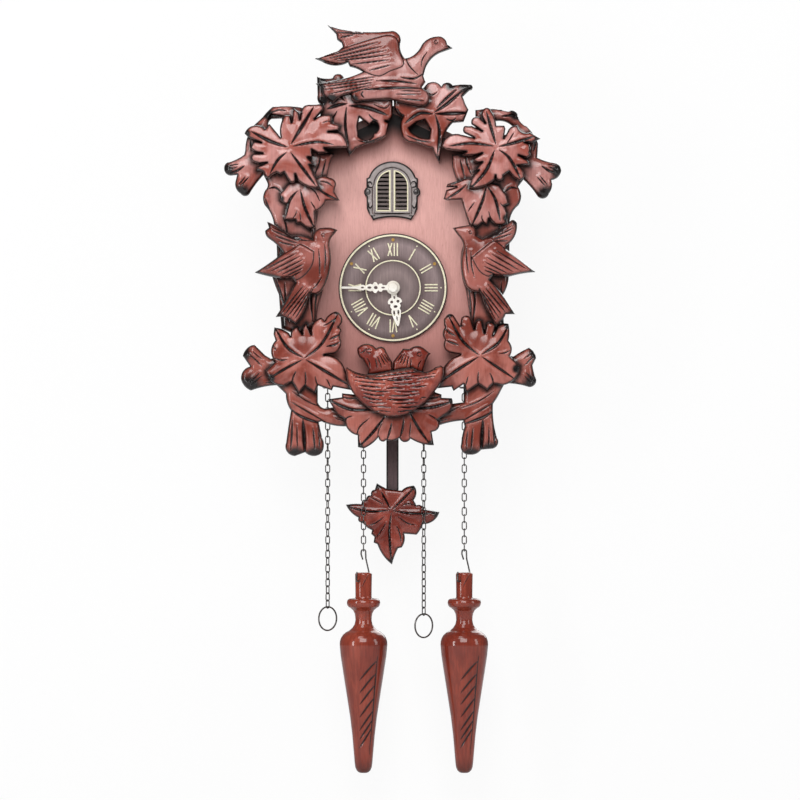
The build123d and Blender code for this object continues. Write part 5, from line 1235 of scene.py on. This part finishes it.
tree.links.new(slotted.outputs["Mesh"], screw.inputs[0])
tree.links.new(shank_place.outputs["Geometry"], screw.inputs[0])
upright = put(tree, "GeometryNodeTransform", [("Geometry", screw.outputs[0]),
                                              ("Rotation", (math.radians(90), 0, 0))])
dotted = put(tree, "GeometryNodeInstanceOnPoints", [("Points", given.outputs["Geometry"]),
                                                    ("Instance", upright.outputs["Geometry"])])
real = put(tree, "GeometryNodeRealizeInstances", [("Geometry", dotted.outputs["Instances"])])
finished = put(tree, "GeometryNodeSetMaterial", [("Geometry", real.outputs["Geometry"]),
                                                 ("Material", given.outputs["Finish"])])
tree.links.new(finished.outputs["Geometry"], result.inputs[0])
SCREW_TREE = tree


def grown(name, tree, base, values):
    """Runs a geometry tree on a base mesh; values are by input name. Returns a plain mesh."""
    seed = bpy.data.objects.new(f"{name}_seed", base)
    bpy.context.scene.collection.objects.link(seed)
    run = seed.modifiers.new("grow", "NODES")
    run.node_group = tree
    by_name = {item.name: item.identifier for item in tree.interface.items_tree
               if item.in_out == "INPUT"}
    for label, value in values.items():
        run[by_name[label]] = value
    graph = bpy.context.evaluated_depsgraph_get()
    mesh = bpy.data.meshes.new_from_object(seed.evaluated_get(graph))
    mesh.name = name
    bpy.data.objects.remove(seed)
    mesh.materials.clear()
    mesh.materials.append(values["Finish"])
    mesh.polygons.foreach_set("material_index", [0] * len(mesh.polygons))
    return mesh


def add_piece(name, mesh, body, slot, *nodes, crease=40):
    """Puts a finished plain mesh in the clock, smooth but for its sharp edges."""
    mesh.shade_smooth()
    shape = bmesh.new()
    shape.from_mesh(mesh)
    for e in shape.edges:
        if len(e.link_faces) == 2 and e.calc_face_angle(0) > math.radians(crease):
            e.smooth = False
    shape.to_mesh(mesh)
    shape.free()
    piece = bpy.data.objects.new(name, mesh)
    bpy.context.scene.collection.objects.link(piece)
    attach(piece, body)
    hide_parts(*nodes)
    return piece


dark_steel = metal("dark_screw_steel", tint(120, 116, 116), tint(64, 60, 60), 0.32)
heads = bpy.data.meshes.new("screw_places")
heads.from_pydata([(screw_low.x + HEAD_R, -SCREW_FRONT + 0.0012, (screw_low.z + screw_high.z) / 2),
                   (screw_high.x - HEAD_R, -SCREW_FRONT + 0.0012, (screw_low.z + screw_high.z) / 2)],
                  [], [])
values = {label: value for label, _, value in SCREW_INPUTS if value is not None}
add_piece("surround_screw_pair", grown("surround_screw_pair", SCREW_TREE, heads,
                                       {**values, "Finish": dark_steel}),
          "case", "steel", "surround_screws")


# ---- pendulum ---------------------------------------------------------------------------------
# A flat dark lath swings on a wire pivot behind the front panel, with a carved leaf pinned on
# its foot. The lath's edges are black and its middle is worn to a mauve brown.
lath, tree = new_material("pendulum_lath")
grain = grain_in(tree, fineness=900.0)
place = put(tree, "ShaderNodeTexCoord")
split = put(tree, "ShaderNodeSeparateXYZ", [(0, place.outputs["Object"])])
ROD_MIDDLE, ROD_HALF = -0.0005, 0.00525
off_middle = maths(tree, "ABSOLUTE", maths(tree, "SUBTRACT", split.outputs["X"], ROD_MIDDLE))
at_edge = ranged(tree, off_middle, ROD_HALF - 0.0019, ROD_HALF - 0.0007)
down = ranged(tree, split.outputs["Z"], -0.290, -0.215)
stain = blended(tree, down, tint(106, 82, 84), tint(48, 34, 36))
stain = blended(tree, ranged(tree, grain.outputs["Fibres"], 0, 1, 0.35, 0.0), stain,
                tint(44, 30, 32))
stain = blended(tree, at_edge, stain, tint(14, 9, 10))
shader(tree, [("Base Color", stain), ("Roughness", 0.34), ("Coat Weight", 0.3)],
       grain.outputs["Fibres"], 0.00005)
dress(lath, "pendulum_rod")

BOB_BACK, BOB_FRONT = 41.5, 49
bob_wood = carved_wood("bob_wood", (158, 72, 58), (108, 36, 25), pooled=(42, 11, 9),
                       burnt=(14, 5, 5))
BOB_CUTS = [
    (2.4, [(-2.2, -305.5), (-6, -299), (-10.5, -290.5)]),
    (2.6, [(0, -305.8), (8, -298), (18, -288)]),
    (2.6, [(-3.5, -307), (-20, -308.2), (-38, -304.5)]),
    (2.6, [(0.5, -307.5), (16, -309.8), (37, -309.6)]),
    (3.0, [(-1.6, -309.5), (-3.2, -326), (-1.4, -352)]),
    (1.4, [(-7, -312), (-15, -318), (-22, -320.4)]),
    (1.4, [(4, -312), (12, -318), (20, -320)]),
    (1.4, [(-6, -318), (-11, -326), (-15, -331)]),
    (1.4, [(3, -320), (6, -328), (7, -335)]),
    (1.2, [(-8, -302), (-15, -298), (-20, -295.6)]),
    (1.2, [(7, -303), (14, -301.4), (20, -303.6)]),
]
relief = carve_relief(front_outline("pendulum_bob", BOB_FRONT), BOB_BACK, BOB_FRONT, BOB_CUTS,
                      scorched=[(-40, -302, 5), (39, -309, 5), (-1, -353, 5), (18, -286, 4),
                                (-13, -285, 4)],
                      round_over=2.4, crown=1.4, crown_reach=8)
solid_piece("pendulum_bob_carving", [relief], bob_wood, "pendulum", "carved_wood", "pendulum_bob")


# ---- chains -------------------------------------------------------------------------------------
# Four runs of oval wire links hang from staples in the floor board. Each link stands a quarter
# turn from the one above. Two runs end in pull rings, and two carry the weights on bent hooks.
LINK_WIRE, LINK_WIDTH, LINK_PITCH = 0.00095, 0.0046, 0.0061
LINK_HEIGHT = LINK_PITCH + 0.0001 + LINK_WIRE
RING_OUTER, RING_WIRE, RING_TURN = 0.0216, 0.0014, 42
tree = bpy.data.node_groups.new("hanging_chain", "GeometryNodeTree")
tree.is_modifier = True
tree.interface.new_socket("Geometry", in_out="INPUT", socket_type="NodeSocketGeometry")
for label, kind in (("Links", "NodeSocketInt"), ("Pitch", "NodeSocketFloat"),
                    ("Wire", "NodeSocketFloat"), ("Width", "NodeSocketFloat"),
                    ("Height", "NodeSocketFloat"), ("Twist", "NodeSocketFloat"),
                    ("Finish", "NodeSocketMaterial")):
    tree.interface.new_socket(label, in_out="INPUT", socket_type=kind)
tree.interface.new_socket("Geometry", in_out="OUTPUT", socket_type="NodeSocketGeometry")
given = tree.nodes.new("NodeGroupInput")
result = tree.nodes.new("NodeGroupOutput")
across = put(tree, "ShaderNodeMath", [(0, given.outputs["Width"]), (1, given.outputs["Wire"])],
             operation="SUBTRACT")
bend = put(tree, "ShaderNodeMath", [(0, across.outputs[0]), (1, 0.498)], operation="MULTIPLY")
frame_line = put(tree, "GeometryNodeCurvePrimitiveQuadrilateral",
                 [("Width", across.outputs[0]), ("Height", given.outputs["Height"])])
oval = put(tree, "GeometryNodeFilletCurve", [("Curve", frame_line.outputs["Curve"]),
                                             ("Count", 6), ("Radius", bend.outputs[0]),
                                             ("Limit Radius", True)],
           mode="POLY")
thick = put(tree, "ShaderNodeMath", [(0, given.outputs["Wire"]), (1, 0.5)], operation="MULTIPLY")
section = put(tree, "GeometryNodeCurvePrimitiveCircle", [("Resolution", 8),
                                                         ("Radius", thick.outputs[0])])
link = put(tree, "GeometryNodeCurveToMesh", [("Curve", oval.outputs["Curve"]),
                                             ("Profile Curve", section.outputs["Curve"])])
upright = put(tree, "GeometryNodeTransform", [("Geometry", link.outputs["Mesh"]),
                                              ("Rotation", (math.radians(90), 0, 0))])
drop = put(tree, "ShaderNodeMath", [(0, given.outputs["Pitch"]), (1, -1.0)], operation="MULTIPLY")
step = put(tree, "ShaderNodeCombineXYZ", [("Z", drop.outputs[0])])
line = put(tree, "GeometryNodeMeshLine", [("Count", given.outputs["Links"]),
                                          ("Offset", step.outputs[0])])
number = tree.nodes.new("GeometryNodeInputIndex")
less_one = put(tree, "ShaderNodeMath", [(0, given.outputs["Links"]), (1, 1.0)],
               operation="SUBTRACT")
share = put(tree, "ShaderNodeMath", [(0, given.outputs["Twist"]), (1, less_one.outputs[0])],
            operation="DIVIDE")
each = put(tree, "ShaderNodeMath", [(0, share.outputs[0]), (1, math.radians(90))],
           operation="ADD")
turned = put(tree, "ShaderNodeMath", [(0, number.outputs[0]), (1, each.outputs[0]),
                                      (2, math.radians(90))], operation="MULTIPLY_ADD")
spin = put(tree, "ShaderNodeCombineXYZ", [("Z", turned.outputs[0])])
hung = put(tree, "GeometryNodeInstanceOnPoints", [("Points", line.outputs["Mesh"]),
                                                  ("Instance", upright.outputs["Geometry"]),
                                                  ("Rotation", spin.outputs[0])])
real = put(tree, "GeometryNodeRealizeInstances", [("Geometry", hung.outputs["Instances"])])
finished = put(tree, "GeometryNodeSetMaterial", [("Geometry", real.outputs["Geometry"]),
                                                 ("Material", given.outputs["Finish"])])
tree.links.new(finished.outputs["Geometry"], result.inputs[0])
CHAIN_TREE = tree
chain_steel = metal("blackened_chain_steel", tint(128, 124, 122), tint(58, 54, 52), 0.28)


def pull_ring(x, y, z):
    """A round wire ring about a middle, turned on the chain's line."""
    ring = bmesh.new()
    big, small = (RING_OUTER - RING_WIRE) / 2, RING_WIRE / 2
    around, about = 64, 12
    grid = [[ring.verts.new(((big + small * math.cos(b)) * math.cos(a), small * math.sin(b),
                             (big + small * math.cos(b)) * math.sin(a)))
             for b in np.arange(about) * math.tau / about]
            for a in np.arange(around) * math.tau / around]
    for i in range(around):
        for k in range(about):
            ring.faces.new((grid[i][k], grid[i][(k + 1) % about],
                            grid[(i + 1) % around][(k + 1) % about], grid[(i + 1) % around][k]))
    bmesh.ops.recalc_face_normals(ring, faces=ring.faces)
    ring.transform(Matrix.Translation((x, y, z)) @ Matrix.Rotation(math.radians(RING_TURN), 4, "Z"))
    return ring


STRANDS = [("left_ring", 31, 42), ("right_ring", 32, -48), ("left_weight", 23, 0),
           ("right_weight", 23, 0)]
for strand, links, twist in STRANDS:
    node = f"{strand}_chain"
    low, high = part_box(node)
    x, y = (low.x + high.x) / 2, (low.y + high.y) / 2
    first = high.z - (LINK_HEIGHT + LINK_WIRE) / 2
    mesh = grown(f"{node}_links", CHAIN_TREE, bpy.data.meshes.new("chain_seed"),
                 {"Links": links, "Pitch": LINK_PITCH, "Wire": LINK_WIRE, "Width": LINK_WIDTH,
                  "Height": LINK_HEIGHT, "Twist": math.radians(twist), "Finish": chain_steel})
    mesh.transform(Matrix.Translation((x, y, first)))
    if twist:
        joined = pull_ring(x, y, low.z + RING_OUTER / 2)
        joined.from_mesh(mesh)
        joined.to_mesh(mesh)
        joined.free()
    add_piece(f"{node}_wire", mesh, f"{strand}_strand", "chain_steel", node, crease=60)
dress(chain_steel, "left_weight_hook", "right_weight_hook")


# ---- weights ------------------------------------------------------------------------------------
# Each weight is turned from one billet: a drilled neck, a ring collar, a cove, a full shoulder
# and a long taper. A half feather is then cut down its front and the whole is lacquered.
WEIGHT_TURNS, WEIGHT_RING = 132, 0.85
PROFILE = [(0, -360.2), (5.4, -360.2), (6.4, -360.5), (7.2, -361.6), (7.0, -372), (6.9, -381.2),
           (7.4, -382.2), (12.4, -382.7), (13.8, -384), (14.3, -386), (13.9, -388.2), (12.9, -389.7),
           (11.4, -390.5), (9, -392.6), (7.6, -395.4), (7.1, -398), (6.9, -401), (7.6, -404.4),
           (9.4, -407.4), (12, -409.8), (15, -411.4), (17.6, -413.6), (19.2, -416), (20.2, -419),
           (20.4, -422), (19.5, -432), (17.4, -446), (14.6, -464), (11.5, -484), (9.6, -500),
           (8.4, -514), (7.6, -523.4), (7.1, -527), (6, -529.6), (4.4, -531.2), (3, -531.8),
           (0, -531.8)]
FEATHER_SPINE = [(12.8, -426), (11, -445), (9.6, -462), (8.2, -480), (6.6, -498), (5, -516)]
BARB_ENDS = (-452, -463, -473, -484, -495, -503, -510)
lacquer, tree = new_material("weight_lacquered_wood")
grain = grain_in(tree, fineness=520.0)
place = put(tree, "ShaderNodeTexCoord")
split = put(tree, "ShaderNodeSeparateXYZ", [(0, place.outputs["Object"])])
rings = put(tree, "ShaderNodeTexWave", [("Vector", place.outputs["Object"]), ("Scale", 420.0),
                                        ("Distortion", 1.2), ("Detail", 3.0)],
            bands_direction="Z")
stain = blended(tree, grain.outputs["Figure"], tint(164, 72, 52), tint(128, 46, 31))
stain = blended(tree, ranged(tree, grain.outputs["Fibres"], 0, 1, 0.4, 0.0), stain,
                tint(84, 28, 20))
stain = blended(tree, maths(tree, "MULTIPLY", rings.outputs["Fac"], 0.16), stain, tint(70, 24, 18))
tip = ranged(tree, split.outputs["Z"], -0.532, -0.516, 0.55, 0.0)
stain = blended(tree, tip, stain, tint(34, 12, 10))
cut_mark = put(tree, "ShaderNodeAttribute", attribute_name="cut")
stain = blended(tree, ranged(tree, cut_mark.outputs["Fac"], 0.15, 0.7), stain, tint(38, 12, 9))
shader(tree, [("Base Color", stain), ("Roughness", 0.35), ("Specular IOR Level", 0.12),
              ("Coat Weight", 1.0), ("Coat Roughness", 0.08)], grain.outputs["Fibres"], 0.00004)


def turned_and_cut(x, y, cuts):
    """The weight as (points, faces, marks) in mm, turned about a line and cut on its front."""
    heights, radii = [], []
    for (r0, z0), (r1, z1) in zip(PROFILE, PROFILE[1:]):
        parts = max(1, math.ceil(math.hypot(r1 - r0, z1 - z0) / WEIGHT_RING))
        for i in range(parts):
            radii.append(r0 + (r1 - r0) * i / parts)
            heights.append(z0 + (z1 - z0) * i / parts)
    radii, heights = np.array(radii[1:]), np.array(heights[1:])
    angles = np.arange(WEIGHT_TURNS) * math.tau / WEIGHT_TURNS
    a, r = np.meshgrid(angles, radii)
    z = np.repeat(heights[:, None], WEIGHT_TURNS, 1)
    flat = np.column_stack(((r * np.sin(a)).ravel(), z.ravel()))
    front = (np.cos(a) > -0.15).ravel()
    dip = np.zeros(len(flat))
    mark = np.zeros(len(flat))
    for width, points in cuts:
        gap, t = beside(flat, curve_through(points))
        half = width / 2 * np.clip(np.sin(np.pi * np.clip(t, 0.02, 0.98)), 0, 1) ** 0.5
        inside_cut = np.clip(1 - gap / half, 0, 1) * front
        dip = np.maximum(dip, inside_cut * half * 0.9)
        mark = np.maximum(mark, np.clip(1.3 * inside_cut, 0, 1))
    r = r - dip.reshape(r.shape)
    points = np.column_stack(((x + r * np.sin(a)).ravel(), (y - r * np.cos(a)).ravel(), z.ravel()))
    rows = len(radii)
    faces = [(i * WEIGHT_TURNS + k, i * WEIGHT_TURNS + (k + 1) % WEIGHT_TURNS,
              (i + 1) * WEIGHT_TURNS + (k + 1) % WEIGHT_TURNS, (i + 1) * WEIGHT_TURNS + k)
             for i in range(rows - 1) for k in range(WEIGHT_TURNS)]
    top, foot = len(points), len(points) + 1
    points = np.vstack((points, (x, y, PROFILE[0][1]), (x, y, PROFILE[-1][1])))
    faces += [(k, top, (k + 1) % WEIGHT_TURNS) for k in range(WEIGHT_TURNS)]
    last = (rows - 1) * WEIGHT_TURNS
    faces += [(last + (k + 1) % WEIGHT_TURNS, foot, last + k) for k in range(WEIGHT_TURNS)]
    marks = np.zeros((len(points), 3))
    marks[:-2, 0] = mark
    return points, faces, marks


spine = curve_through(FEATHER_SPINE)
weight_cuts = [(1.6, FEATHER_SPINE)]
for end in BARB_ENDS:
    root = (np.interp(-(end + 17), -spine[:, 1], spine[:, 0]), end + 17)
    weight_cuts.append((2.5, [root, (root[0] * 0.42, end + 10), (-3.5, end)]))
weight_cuts.append((0.9, [(4.6, -361.5), (1, -368), (-2, -374)]))
for side in ("left", "right"):
    low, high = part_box(f"{side}_weight")
    middle = (low + high) / 2 * 1000
    solid_piece(f"{side}_weight_turning", [turned_and_cut(middle.x, middle.y, weight_cuts)],
                lacquer, f"{side}_hung_weight", "weight_wood", f"{side}_weight")
